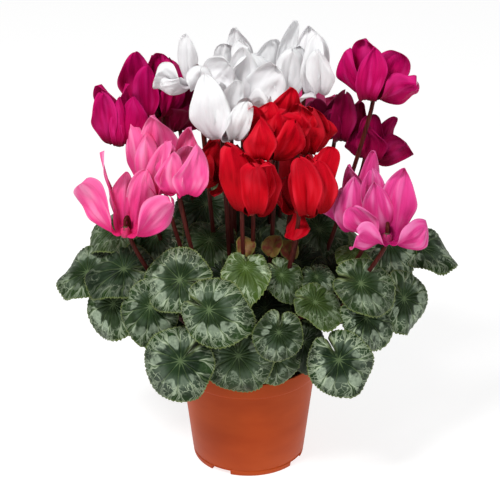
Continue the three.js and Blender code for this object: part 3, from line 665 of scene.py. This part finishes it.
def petal_finish(name):
    base, middle, tip, edge, _, streaked = PETAL_COLOURS[name]
    finish = Finish(f"petal_{name}", 0.6, 0.07)
    spot = finish.attribute("spot")
    along, across, _ = finish.parts(spot)
    # Painted shade for the shaded blooms: bright darkens the whole petal colour and deep draws it towards
    # the base colour
    bright, deep, _ = finish.parts(finish.attribute("tone"))
    streak = finish.noise(finish.stretched(spot, (1.6, 20, 7)), 1, 4, 0.6)
    clouds = finish.noise(finish.stretched(spot, (3, 2.5, 7)), 1, 2)
    # Painted highlights: soft lighter patches in the edge colour over the middle and tip of the petal
    lights = finish.noise(finish.stretched(spot, (1.5, 1.9, 11), (3, 5, 0)), 1, 1)
    colour = finish.layers(
        base,
        (along.smooth(0.05, 0.4), middle),
        (along.smooth(0.4, 1), tip),
        (streak.smooth(0.48, 0.72, 0, 0.55), streaked),
        (clouds.smooth(0.5, 0.8, 0, 0.5), streaked),
        (lights.smooth(0.48, 0.72) * along.smooth(0.15, 0.4) * 0.6, edge),
        (abs(across).smooth(0.82, 1) * along.smooth(0.1, 0.5) * clouds.smooth(0.3, 0.6, 0.65, 0.25), edge),
        (deep, base),
    )
    finish.colour(finish.scaled(colour, bright))
    finish.bump(streak, 0.7, 0.5)
    if name == "white":
        # Light spreads inside the thin white tissue
        tissue = {"Subsurface Weight": 0.35, "Subsurface Radius": (1, 0.93, 0.95)}
        finish.set({**tissue, "Subsurface Scale": 3 * MM})
    return finish.material


def plain_finish(name, first, second, scale, roughness, bump=0.3, specular=0.4):
    """Two colours mixed by a noise of that many cells in a metre, with a bump of the same grain."""
    finish = Finish(name, roughness, specular)
    grain = finish.noise(finish.place(), scale, 4)
    finish.colour(finish.mix(grain.smooth(0.3, 0.7), first, second))
    finish.bump(grain, bump, 0.5)
    return finish.material


def stalk_finish():
    finish = Finish("stalk_red_brown", 0.5, 0.12)
    height = finish.parts(finish.place())[2]
    grain = finish.noise(finish.stretched(finish.place(), (900, 900, 40)), 1, 3)
    colour = finish.mix(grain.smooth(0.3, 0.7), (0.045, 0.005, 0.004), (0.1, 0.014, 0.009))
    # Painted shade: the stalks turn nearly black below 0.15 to 0.25 m, where they stand low among the
    # leaves
    finish.colour(finish.mix(height.smooth(0.15, 0.25, 0.75, 0), colour, (0.02, 0.004, 0.004)))
    finish.bump(grain, 0.2, 0.3)
    return finish.material


def pot_finish():
    finish = Finish("pot_terracotta_plastic", 0.48, 0.12)
    place = finish.place()
    clouds = finish.noise(finish.stretched(place, (1, 1, 2.5)), 14, 3)
    finish.colour(finish.mix(clouds.smooth(0.25, 0.75), (0.37, 0.045, 0.005), (0.47, 0.068, 0.009)))
    finish.bump(finish.noise(place, 900, 3), 0.12, 0.2)
    return finish.material


LEAF = leaf_finish()
UNDERSIDE = underside_finish()
YOUNG = young_finish()
STALK = stalk_finish()
PETALS = {name: petal_finish(name) for name in PETAL_COLOURS}
THROATS = {
    name: plain_finish(f"throat_{name}", colours[4], colours[0], 300, 0.6)
    for name, colours in PETAL_COLOURS.items()
}
CALYX = plain_finish("calyx_brown_green", (0.05, 0.02, 0.012), (0.09, 0.06, 0.02), 400, 0.5)
ANTHER = plain_finish("anther_yellow", (0.5, 0.3, 0.05), (0.6, 0.42, 0.1), 900, 0.6)
SOIL = plain_finish("peat_soil", (0.008, 0.005, 0.003), (0.04, 0.022, 0.012), 260, 0.95, 0.8, 0.2)
TUBER = plain_finish("tuber_cork", (0.05, 0.025, 0.015), (0.11, 0.06, 0.035), 220, 0.85, 0.8, 0.2)
POT = pot_finish()


# Round bodies
def lathe(shape, profile, segments, finish=0, centre=(0, 0, 0), change=None):
    """A closed body of turned profile points, which start and end on the axis."""
    profile = np.array(profile, float)
    radius, height = profile[1:-1, :, None].transpose(1, 0, 2)
    turn = np.linspace(0, math.tau, segments, endpoint=False)
    ring = np.stack([radius * np.cos(turn), radius * np.sin(turn), height + 0 * turn], axis=-1)
    points = np.concatenate([ring.reshape(-1, 3), [[0, 0, profile[0, 1]], [0, 0, profile[-1, 1]]]])
    if change is not None:
        points = change(points)
    faces = ring_faces(len(profile) - 2, segments)
    shape.add(points + centre, [(block, finish) for block in faces])


def catmull_rom(points, steps):
    """Points along a smooth centripetal curve, evenly shared out between each pair of its own points."""
    points = np.array(points, float)
    ends = np.concatenate([[2 * points[0] - points[1]], points, [2 * points[-1] - points[-2]]])
    path = []
    for i in range(len(points) - 1):
        four = ends[i:i + 4]
        knots = np.cumsum([0, *np.linalg.norm(np.diff(four, axis=0), axis=1) ** 0.5])
        for at in np.linspace(knots[1], knots[2], steps, endpoint=False):
            level = four
            for starts, stops in ((knots[:3], knots[1:]), (knots[:2], knots[2:]), (knots[1:2], knots[2:3])):
                share = ((at - starts) / (stops - starts))[:, None]
                level = (1 - share) * level[:-1] + share * level[1:]
            path.append(level[0])
    return np.array([*path, points[-1]])


def tube(shape, path, radii, sides, finish=0):
    """A closed round tube along a path, with a radius for each of its points."""
    along = unit(np.gradient(path, axis=0))
    side = unit(np.cross(along[0], [0.3, 1, 0.2]))
    turn = np.linspace(0, math.tau, sides, endpoint=False)[:, None]
    rings = []
    for point, tangent, radius in zip(path, along, radii):
        side = unit(side - tangent * (side @ tangent))
        other = np.cross(tangent, side)
        rings.append(point + radius * (np.cos(turn) * side + np.sin(turn) * other))
    faces = ring_faces(len(path), sides)
    shape.add(np.concatenate([*rings, [path[0], path[-1]]]), [(block, finish) for block in faces])


# The pot
def pot_radius(height):
    share = height / (POT_HEIGHT - COLLAR_HEIGHT)
    return FOOT_RADIUS + (BODY_TOP_RADIUS - FOOT_RADIUS) * share


def cut_away(piece, cutters):
    """Cuts closed bodies out of a piece."""
    for cutter in cutters:
        modifier = piece.modifiers.new("cut", "BOOLEAN")
        modifier.operation = "DIFFERENCE"
        modifier.object = cutter
        modifier.solver = "EXACT"
    depsgraph = bpy.context.evaluated_depsgraph_get()
    cut = bpy.data.meshes.new_from_object(piece.evaluated_get(depsgraph))
    piece.modifiers.clear()
    piece.data = cut
    for cutter in cutters:
        bpy.data.objects.remove(cutter)


def make_cutter(build, turn, place, scale=(1, 1, 1), **sizes):
    """A closed body to cut away, which is built at a place and then turned round the pot's axis."""
    where = Matrix.Rotation(turn, 4, "Z") @ Matrix.Translation(place) @ Matrix.Diagonal((*scale, 1))
    body = bmesh.new()
    build(body, matrix=Matrix.Scale(MM, 4) @ where, **sizes)
    mesh = bpy.data.meshes.new("cutter")
    body.to_mesh(mesh)
    body.free()
    return put("cutter", mesh)


def make_pot():
    """The pot, whose profile is turned from under the rest pad, up the outside and down the inside."""
    collar = POT_HEIGHT - COLLAR_HEIGHT
    foot_inside = FOOT_RADIUS - FOOT_WIDTH
    collar_radius = pot_radius(collar) + COLLAR_PROUD
    profile = [
        (0, 0),
        (REST_PAD_RADIUS, 0),
        (REST_PAD_RADIUS + 0.8, 0.6),
        (REST_PAD_RADIUS + 1.2, FLOOR_UNDERSIDE),
        (foot_inside - 1, FLOOR_UNDERSIDE),
        (foot_inside, 0.5),
        (foot_inside + 0.5, 0),
        (FOOT_RADIUS - 1.4, 0),
        (FOOT_RADIUS - 0.4, 0.4),
        (FOOT_RADIUS, 1.4),
        (pot_radius(4.8) - 0.1, 4.6),
        (pot_radius(5) - 0.6, 5.1),
        (pot_radius(5.8) - 0.5, 5.6),
        (pot_radius(6.2), 6.4),
        (pot_radius(0.5 * collar), 0.5 * collar),
        (pot_radius(collar), collar - 0.3),
        (pot_radius(collar) + 0.5, collar),
        (collar_radius - 0.2, collar + 0.5),
        (collar_radius, collar + 1.3),
        (RIM_RADIUS, POT_HEIGHT - 1.2),
        (RIM_RADIUS - 0.2, POT_HEIGHT - 0.3),
        (RIM_RADIUS - 0.7, POT_HEIGHT),
        (RIM_RADIUS - WALL + 0.3, POT_HEIGHT),
        (RIM_RADIUS - WALL, POT_HEIGHT - 0.5),
        (pot_radius(collar) - WALL, collar - 1),
        (pot_radius(FLOOR_TOP + 3) - WALL, FLOOR_TOP + 3),
        (pot_radius(FLOOR_TOP) - WALL - 3, FLOOR_TOP),
        (0, FLOOR_TOP),
    ]
    shape = Shape()
    lathe(shape, profile, POT_SEGMENTS)
    pot = shape.piece("pot_body", [POT], "pot_plastic", ["pot"])
    notch = (3 * FOOT_WIDTH, NOTCH_WIDTH, 2 * NOTCH_HEIGHT)
    drain_place = (DRAIN_RING_RADIUS, 0, 0.5 * (FLOOR_UNDERSIDE + FLOOR_TOP))
    drain = {
        "cap_ends": True,
        "segments": DRAIN_SEGMENTS,
        "radius1": DRAIN_RADIUS,
        "radius2": DRAIN_RADIUS,
        "depth": FLOOR_TOP - FLOOR_UNDERSIDE + 4,
    }
    turns = [math.radians(angle) for angle in NOTCH_ANGLES]
    notch_place = (FOOT_RADIUS, 0, 0)
    cutters = [make_cutter(bmesh.ops.create_cube, turn, notch_place, notch, size=1) for turn in turns]
    cutters += [make_cutter(bmesh.ops.create_cone, turn, drain_place, **drain) for turn in turns]
    cut_away(pot, cutters)
    pot.data.shade_smooth()
    pot.data.set_sharp_from_angle(angle=math.radians(POT_SHARP_ANGLE))


# The soil
def crumble(points):
    x, y, z = points.T
    top = z > SOIL_LEVEL - 2.5
    rough = np.sin(0.31 * x + 1) * np.cos(0.27 * y)
    rough += 0.6 * np.sin(0.9 * x + 0.4 * y) * np.sin(0.8 * y - 0.5 * x + 2)
    rough += 0.4 * np.sin(2.3 * x - 1.1 * y) * np.sin(2.1 * y + 0.7 * x)
    return np.stack([x, y, z + np.where(top, rough, 0)], axis=1)


def make_soil():
    """Peat up to its level in the pot, with loose crumbs on top."""
    floor = FLOOR_TOP + 0.4
    wall = [
        (pot_radius(height) - WALL - gap, height)
        for height, gap in ((floor, 4), (12, 1), (SOIL_LEVEL - 6, 0.8), (SOIL_LEVEL - 3, 1.2))
    ]
    top = [(radius, SOIL_LEVEL - 0.9 * radius / SOIL_RADIUS) for radius in range(52, 1, -2)]
    shape = Shape()
    lathe(shape, [(0, floor), *wall, *top, (0, SOIL_LEVEL)], SOIL_SEGMENTS, change=crumble)
    chance = np.random.default_rng(SEED)
    for _ in range(CRUMBS):
        distance = CRUMB_REACH * math.sqrt(chance.uniform(0.2, 1))
        turn = chance.uniform(0, math.tau)
        size = chance.uniform(0.8, 2.4)
        squash = chance.uniform(0.5, 1, 3)
        bumps = np.random.default_rng(chance.integers(1 << 30))
        sides = [(size * math.sin(step), -size * math.cos(step)) for step in (0.8, 1.6, 2.4)]
        centre = (distance * math.cos(turn), distance * math.sin(turn), SOIL_LEVEL + 0.3)

        def knock(points, squash=squash, bumps=bumps):
            return points * bumps.uniform(0.75, 1.15, (len(points), 1)) * squash

        lathe(shape, [(0, -size), *sides, (0, size)], CRUMB_SEGMENTS, 0, centre, knock)
    shape.piece("soil_crumbly", [SOIL], "potting_soil", ["soil"])


# The crown
def crown_root(place, spread):
    out = np.array([place[0], place[1], 0])
    return out * spread / np.linalg.norm(out) + [0, 0, TUBER_CENTRE + ROOT_RISE]


def lump(points):
    x, y, z = points.T
    rough = 0.03 * np.sin(0.35 * x + 0.2 * z) * np.sin(0.3 * y) + 0.02 * np.sin(0.8 * x) * np.sin(0.9 * y)
    return points * (1 + rough)[:, None]


def make_tuber():
    steps = np.linspace(0, math.pi, 24)[1:-1]
    sides = [(TUBER_RADIUS * math.sin(step), -TUBER_HALF_HEIGHT * math.cos(step)) for step in steps]
    profile = [(0, -TUBER_HALF_HEIGHT), *sides, (0, TUBER_HALF_HEIGHT)]
    shape = Shape()
    lathe(shape, profile, TUBER_SEGMENTS, 0, (0, 0, TUBER_CENTRE), lump)
    shape.piece("tuber", [TUBER], "stalk", ["crown"])


class Leaf:
    def __init__(self, row, order):
        self.name, place, self.width, heading, rise, turn, *fold = row
        self.order = order
        self.fold = fold[0] if fold else BLADE_FOLD
        self.young = self.name.startswith("young")
        self.stalk_radius = LEAF_STALK_RADIUS * (YOUNG_STALK_SHARE if self.young else 1)
        self.base = np.array(place, float)
        self.face = direction(heading, rise)
        downhill = direction(heading, rise - 90)
        right = np.cross(self.face, downhill)
        self.tip = math.cos(math.radians(turn)) * downhill + math.sin(math.radians(turn)) * right
        self.side = np.cross(self.tip, self.face)
        ring = self.place(np.array([SEAT_RING]), np.array([0]))[0]
        self.seat = self.base + SEAT_SHARE * (ring - self.base)

    def radius(self, angle):
        """How far the rim is from the base of a blade one wide."""
        heart = 0.52 + 0.085 * np.cos(angle) + 0.03 * np.cos(2 * angle)
        return heart + 0.03 * np.exp(-((angle / 0.25) ** 2))

    def flat(self, share, angle):
        """Places in the plane of the blade, across and towards the tip."""
        reach = share * self.width * self.radius(angle)
        return reach * np.sin(angle), reach * np.cos(angle)

    def place(self, share, angle, relief=0, grow=1):
        x, y = self.flat(share * grow, angle)
        out = np.hypot(x, y) / (0.5 * self.width)
        soft = BLADE_SOFT_MIDDLE * self.width
        wave = BLADE_WAVE * np.sin(WAVES * angle + WAVE_STEP * self.order)
        height = (wave - BLADE_DOME) * self.width * out ** 2 + self.fold * (np.hypot(x, soft) - soft)
        height = height - BLADE_DROOP * np.maximum(y, 0) ** 2 / self.width + relief
        return self.base + np.stack([x, y, height], axis=-1) @ np.stack([self.side, self.tip, self.face])


def vein_relief(leaf, share, angle):
    """Sunk veins with the blade swelling between them."""
    steps = angle / VEIN_STEP * (1 + VEIN_BEND * share)
    aside = np.abs(steps - np.round(steps))
    away = VEIN_STEP * share * leaf.width * leaf.radius(angle)
    forked = np.abs(aside - FORK_SPREAD * smoothstep(share, FORK_START, 1))
    depth = 0.6 * smoothstep(share, 0.02, 0.2) * (1 - 0.6 * share)
    relief = -depth * np.exp(-((aside * away / 0.9) ** 2))
    relief -= 0.3 * smoothstep(share, 0.4, 0.6) * np.exp(-((forked * away / 0.8) ** 2))
    swell = np.sin(math.pi * np.clip(aside * 2, 0, 1)) * smoothstep(share, 0.1, 0.4)
    relief += 1.1 * swell * (1 - 0.7 * smoothstep(share, 0.7, 1))
    x, y = leaf.flat(share, angle)
    phase = 2.1 * leaf.order
    relief += 0.22 * np.sin(0.95 * x + phase) * np.sin(0.9 * y - phase) * smoothstep(share, 0.2, 0.6)
    return relief * min(1, leaf.width / 40)


def add_blade(shape, leaf):
    chance = np.random.default_rng(SEED + 31 * leaf.order)
    grid = FRONT_GRID
    if leaf.young:
        grid = YOUNG_GRID
    elif leaf.base[1] > BACK_ROW or leaf.name == INNER:
        grid = HIDDEN_GRID
    stations, rings = grid
    half = math.pi - SLIT_HALF_ANGLE
    angles = np.linspace(-half, half, stations + 1)
    shares = np.concatenate([np.linspace(0, 0.9, rings - 2)[1:], [0.95, 0.98, 1]])
    share, angle = np.meshgrid(shares, angles, indexing="ij")

    # The outline: rounded corners at the slit, small teeth and lobes
    corner = np.clip((np.abs(angle) - (half - 0.45)) / 0.45, 0, 1)
    rounded = 1 - 0.26 * corner ** 3
    teeth = round(leaf.width * TEETH_PER_MM)
    tooth = np.abs(((angle / math.tau * teeth) % 1) * 2 - 1)
    ragged = TOOTH_HEIGHT * (tooth - 0.5) + 0.008 * chance.normal(size=angle.shape)
    grow = rounded * (1 + share ** 10 * ragged)
    phases = chance.uniform(0, math.tau, 3)
    lobes = 0.028 * np.sin(2 * angle + phases[0]) + 0.02 * np.sin(5 * angle + phases[1])
    lobes += 0.03 * np.exp(-((angle / 0.3) ** 2))
    grow = grow * (1 + lobes * share ** 3)

    # The relief: veins, a turned-down edge, one lobe over the other at the slit, and waves
    curl = -0.02 * share ** 9 * (1 + 0.9 * np.sin(3 * angle + leaf.order))
    curl += 0.026 * np.sin(4 * angle + 1.3 * leaf.order) * share ** 2
    curl += 0.016 * np.sin(7 * angle + phases[2]) * share ** 4
    relief = vein_relief(leaf, share, angle) + leaf.width * curl + 0.7 * np.sign(angle) * corner * share
    points = leaf.place(share, angle, relief, grow).reshape(-1, 3)
    x, y = leaf.flat(share * rounded, angle)
    spots = np.stack([x / leaf.width, y / leaf.width, share], axis=-1).reshape(-1, 3)
    points = np.concatenate([[leaf.base], points])
    spots = np.concatenate([[[0, 0, 0]], spots])

    # The faces: a fan round the base, then rings of quads out to the rim
    at = 1 + np.arange(share.size).reshape(share.shape)
    fan = np.stack([np.zeros(stations, int), at[0, 1:], at[0, :-1]], axis=1)
    rim = np.concatenate([at[-1, ::-1], at[-2::-1, 0], [0], at[:-1, -1]])
    faces = [grid_quads(*share.shape, 1), fan]
    thickness = BLADE_THICKNESS * (1 - 0.5 * spots[:, 2] ** 4)
    tone = LEAF_TONES.get(leaf.name, COMMON_TONE) * (1 + np.array(TONE_SPREAD) * chance.uniform(-1, 1, 3))
    shape.add_sheet(points, faces, rim, thickness, (0, 1), spots, tone)


def make_leaves(leaves):
    for name in dict.fromkeys(leaf.name for leaf in leaves):
        shape = Shape()
        for leaf in leaves:
            if leaf.name == name:
                add_blade(shape, leaf)
        if name.startswith("young"):
            shape.piece(f"{name}_blade", [YOUNG, YOUNG], "young_leaf", [name])
        elif name == INNER:
            shape.piece(f"{name}_shade", [LEAF, UNDERSIDE], "leaf")
        else:
            shape.piece(f"{name}_blade", [LEAF, UNDERSIDE], "leaf", [name])


def leaf_stalk_path(leaf):
    root = crown_root(leaf.base, LEAF_ROOT_SPREAD)
    behind = leaf.seat - LEAF_STALK_APPROACH * leaf.face
    middle = 0.5 * (root + behind)
    middle[2] += LEAF_STALK_BULGE * np.linalg.norm(behind - root)
    return catmull_rom([root, middle, behind, leaf.seat - 0.2 * leaf.face], 8)


# The blooms
def hook_room(gap):
    """How well the stalk's hook fits a gap between petals, best in a wide one at the back."""
    width, heading = gap
    return min(width, HOOK_GAP) + HOOK_BEHIND * math.sin(math.radians(heading))


class Bloom:
    def __init__(self, row, order):
        self.name, self.colour, place, self.length, self.width, self.petals = row
        self.order = order
        # Painted shade: the petals of a shaded bloom are darker and nearer their base colour
        shade = BLOOM_SHADES.get(self.name, 1)
        self.tone = (0.5 + 0.5 * shade, 1.4 * (1 - shade), 0)
        self.mouth = np.array(place, float)
        headings = sorted(petal[0] % 360 for petal in self.petals)
        following = headings[1:] + [headings[0] + 360]
        gaps = [(after - before, 0.5 * (after + before)) for before, after in zip(headings, following)]
        self.hook = max(gaps, key=hook_room)[1]


def flower_stalk_path(bloom):
    out = direction(bloom.hook, 0)
    root = crown_root(bloom.mouth, FLOWER_ROOT_SPREAD)

    def at(reach, rise):
        return bloom.mouth + reach * out + np.array([0, 0, rise])

    beside = at(HOOK_REACH, HOOK_START)
    low = root + STALK_LEAN * (beside - root)
    low[2] = root[2] + STALK_LOW_SHARE * (beside[2] - root[2])
    high = low + STALK_HIGH_LEAN * (beside - low)
    high[2] = low[2] + STALK_HIGH_SHARE * (beside[2] - low[2])
    hook = [at(HOOK_REACH, HOOK_SHOULDER), at(0.55 * HOOK_REACH, HOOK_TOP)]
    tip = [at(0, CALYX_HEIGHT + 5), at(0, CALYX_HEIGHT - 0.5)]
    return catmull_rom([root, low, high, beside, *hook, *tip], 6)


def make_stalks(name, stalks, sides):
    """Round stalks that get thinner upwards, each from its path and radius."""
    shape = Shape()
    for path, radius in stalks:
        tube(shape, path, radius * np.linspace(1.15, 0.8, len(path)), sides)
    shape.piece(name, [STALK], "stalk", ["crown"])


def petal_width(share, widest, point):
    """How wide a petal is along its length, as a share of its full width."""
    full = 0.42 + 0.58 * smoothstep(share, 0, widest)
    return full * (1 - share ** 4) ** point


def petal_line(opening, length, shares):
    """Distance out, height and slope of a petal's middle line."""
    fine = np.linspace(0, 1, LINE_STEPS + 1)
    sweep = (PETAL_START - opening) * np.exp(-((fine * length / PETAL_SWEEP) ** 1.5))
    slope = np.radians(opening + sweep + PETAL_CURL * (fine ** 2 - 0.3))
    moves = np.stack([np.sin(slope), np.cos(slope)]) * length / LINE_STEPS
    out, up = np.pad(np.cumsum(0.5 * (moves[:, 1:] + moves[:, :-1]), axis=1), ((0, 0), (1, 0)))
    return [np.interp(shares, fine, values) for values in (PETAL_BASE + out, up, slope)]


def add_petal(shape, bloom, petal, chance):
    heading, opening, twist, longer, wider = petal
    length = bloom.length * longer
    width = bloom.width * wider
    share = 0.998 * (1 - (1 - np.linspace(0, 1, PETAL_ROWS)) ** 1.4)
    across = np.linspace(-1, 1, PETAL_COLUMNS)
    point = chance.choice(PETAL_POINTS)
    if longer > LONG_PETAL:
        point = max(PETAL_POINTS)
    widest = chance.uniform(0.42, 0.7)
    lean, fold, cup, roll, tip_turn, recurve = chance.uniform(-1, 1, 6)
    phases = chance.uniform(0, math.tau, 5)

    # The middle line, with the direction along it, across the petal and out of its face at each point
    out, up, slope = petal_line(opening, length, share)
    outward = direction(heading, 0)
    upward = np.array([0, 0, 1])
    sideways = np.cross(upward, outward)
    along = np.sin(slope)[:, None] * outward + np.cos(slope)[:, None] * upward
    inward = np.cross(along, sideways)
    settled = math.radians(twist) * (1 - (1 - share) ** PETAL_TWIST_RATE)
    turn = settled + math.radians(PETAL_TIP_TURN) * tip_turn * share ** 2.2
    lateral = np.cos(turn)[:, None] * sideways + np.sin(turn)[:, None] * inward
    normal = np.cross(along, lateral)
    spread = 0.5 * width * petal_width(share, widest, point)
    shift = PETAL_SHIFT * spread * np.abs(np.sin(settled))
    middle = bloom.mouth + (out + shift)[:, None] * outward + up[:, None] * upward

    # How far aside each point lies, and how high over the flat petal as a share of its width
    far, over = np.meshgrid(share, across, indexing="ij")
    left = np.clip(-over, 0, 1)
    right = np.clip(over, 0, 1)
    belly = np.sin(math.pi * far ** 0.8)
    free = smoothstep(far, 0.15, 0.6)
    uneven = left * np.sin(5 * far + phases[0]) + right * np.sin(5 * far + phases[1])
    aside = spread[:, None] * over * (1 + PETAL_UNEVEN * free * uneven)
    aside += PETAL_LEAN * width * lean * far ** 2.5
    tip_part = smoothstep(far, 0.55, 1.1) ** 1.3
    waves = left ** 1.5 * np.sin(8 * far + phases[2]) + right ** 1.5 * np.sin(7 * far + phases[3])
    ripple = np.abs(over) ** 3 * np.sin(23 * far + phases[4])
    furrows = np.sin(11 * over + 3 * far + phases[4]) + 0.8 * np.sin(17 * over - 4 * far + phases[3])
    dents = np.sin(9 * far + 4 * over + phases[0]) * np.sin(5 * over + phases[2])
    height = width * sum([
        -(0.75 + 0.45 * cup) * PETAL_CUP * over ** 2 * belly,
        (PETAL_FOLD * fold - 0.03) * (1 - np.exp(-np.abs(over) / 0.25)) * belly,
        PETAL_ROLL * roll * np.sign(roll * over) * over ** 3 * free,
        PETAL_RECURVE * (recurve + 0.25 * np.abs(over)) * tip_part,
        PETAL_RUFFLE * free * waves,
        PETAL_RIPPLE * free * ripple,
        PETAL_FURROW * furrows * belly,
        PETAL_DENT * dents * free,
    ])
    raised = height[..., None] * normal[:, None, :]
    points = middle[:, None, :] + aside[..., None] * lateral[:, None, :] + raised
    spots = np.stack([far, over, np.full_like(far, chance.uniform(0, 10))], axis=-1)
    thickness = PETAL_THICKNESS * (1 - 0.55 * over ** 4) * (1 - 0.4 * far ** 6)
    faces = [grid_quads(PETAL_ROWS, PETAL_COLUMNS)]
    rim = grid_rim(PETAL_ROWS, PETAL_COLUMNS)
    points, spots = points.reshape(-1, 3), spots.reshape(-1, 3)
    shape.add_sheet(points, faces, rim, thickness.ravel(), (0, 0), spots, bloom.tone)


def add_mouth(shape, bloom):
    """The short tube that the petals spring from, with its throat, the calyx over it and the style."""
    inside = [(0, 4), (2.2, 3), (2.9, -1), (3.2, -2.4)]
    outside = [(3.7, -2.4), (4, -1.5), (4.2, 1.5), (3.6, 4), (2.6, 5.6), (0, 5.5)]
    cap = [(0, 3.2), (2.4, 3.4), (2.8, 4.2), (2.3, 5.8), (1.5, 6.6), (0, 6.8)]
    style = [(0, -4.2), (0.45, -3.9), (0.5, 0), (1.6, 1.2), (1.7, 3), (0, 4.2)]
    for finish, profile, segments in ((1, inside + outside, 20), (2, cap, 10), (3, style, 8)):
        lathe(shape, profile, segments, finish, bloom.mouth)
    for sepal in range(5):
        out = direction(360 * (sepal + 0.5) / 5, 0)
        bend = ((1.8, 5.4), (3, 4.4), (3.7, 2.4))
        path = [bloom.mouth + reach * out + [0, 0, rise] for reach, rise in bend]
        tube(shape, catmull_rom(path, 3), np.linspace(0.8, 0.2, 7), 6, 2)


def make_blooms(blooms):
    for name in dict.fromkeys(bloom.name for bloom in blooms):
        shape = Shape()
        heads = [bloom for bloom in blooms if bloom.name == name]
        for bloom in heads:
            chance = np.random.default_rng(SEED + 17 * bloom.order)
            for petal in bloom.petals:
                add_petal(shape, bloom, petal, chance)
            add_mouth(shape, bloom)
        colour = heads[0].colour
        materials = [PETALS[colour], THROATS[colour], CALYX, ANTHER]
        shape.piece(f"{name}_petals", materials, f"petal_{colour}", [name])


# The stage: a camera that stands as the photo's did, a pale floor, two lights and an even sky
CAMERA_RISE = 24
CAMERA_DISTANCE = 1300
CAMERA_TARGET = (1.3, 0, 193)
FOCAL_PIXELS = 1541
PHOTO_WIDTH = 500
SENSOR_WIDTH = 36
FLOOR_REACH = 6
FLOOR_WHITE = (0.4, 0.4, 0.4)
FLOOR_GLOW = 0.78
SKY_STRENGTH = 0.34
LIGHT_TARGET = (0, 0, 0.2)
LIGHTS = (("key_light", (-0.7, -0.9, 1.7), 0.5, 27), ("fill_light", (0.9, -0.9, 0.9), 0.8, 4))


def make_camera():
    data = bpy.data.cameras.new("camera")
    data.sensor_width = SENSOR_WIDTH
    data.lens = FOCAL_PIXELS / PHOTO_WIDTH * SENSOR_WIDTH
    camera = put("camera", data)
    camera.location = (CAMERA_TARGET + CAMERA_DISTANCE * direction(-90, CAMERA_RISE)) * MM
    camera.rotation_euler = (math.pi / 2 - math.radians(CAMERA_RISE), 0, 0)
    bpy.context.scene.camera = camera


def make_light(name, place, size, power):
    data = bpy.data.lights.new(name, "AREA")
    data.shape = "DISK"
    data.size = size
    data.energy = power
    light = put(name, data)
    light.location = place
    x, y, z = np.subtract(place, LIGHT_TARGET)
    light.rotation_euler = (math.atan2(math.hypot(x, y), z), 0, math.atan2(x, -y))


def make_stage():
    mesh = bpy.data.meshes.new("floor")
    corners = [(x * FLOOR_REACH, y * FLOOR_REACH, 0) for x, y in ((-1, -1), (1, -1), (1, 1), (-1, 1))]
    mesh.from_pydata(corners, [], [(0, 1, 2, 3)])
    floor = put("floor", mesh)
    finish = Finish("pale_floor", 0.9, 0)
    finish.set({"Base Color": FLOOR_WHITE, "Emission Color": (1, 1, 1), "Emission Strength": FLOOR_GLOW})
    mesh.materials.append(finish.material)
    world = bpy.data.worlds.new("studio")
    world.use_nodes = True
    background = world.node_tree.nodes["Background"]
    background.inputs["Color"].default_value = (1, 1, 1, 1)
    background.inputs["Strength"].default_value = SKY_STRENGTH
    bpy.context.scene.world = world
    for light in LIGHTS:
        make_light(*light)
    bpy.context.scene.view_settings.view_transform = "Standard"


leaves = [Leaf(row, order) for order, row in enumerate(LEAVES)]
blooms = [Bloom(row, order) for order, row in enumerate(BLOOMS)]
make_camera()
make_pot()
make_soil()
make_tuber()
leaf_stalks = [(leaf_stalk_path(leaf), leaf.stalk_radius) for leaf in leaves]
flower_stalks = [(flower_stalk_path(bloom), FLOWER_STALK_RADIUS) for bloom in blooms]
make_stalks("leaf_stalks", leaf_stalks, LEAF_STALK_SIDES)
make_stalks("flower_stalks", flower_stalks, FLOWER_STALK_SIDES)
inner = [Leaf((INNER, *row), order) for order, row in enumerate(INNER_LEAVES, len(LEAVES))]
make_leaves(leaves + inner)
make_blooms(blooms)
make_stage()
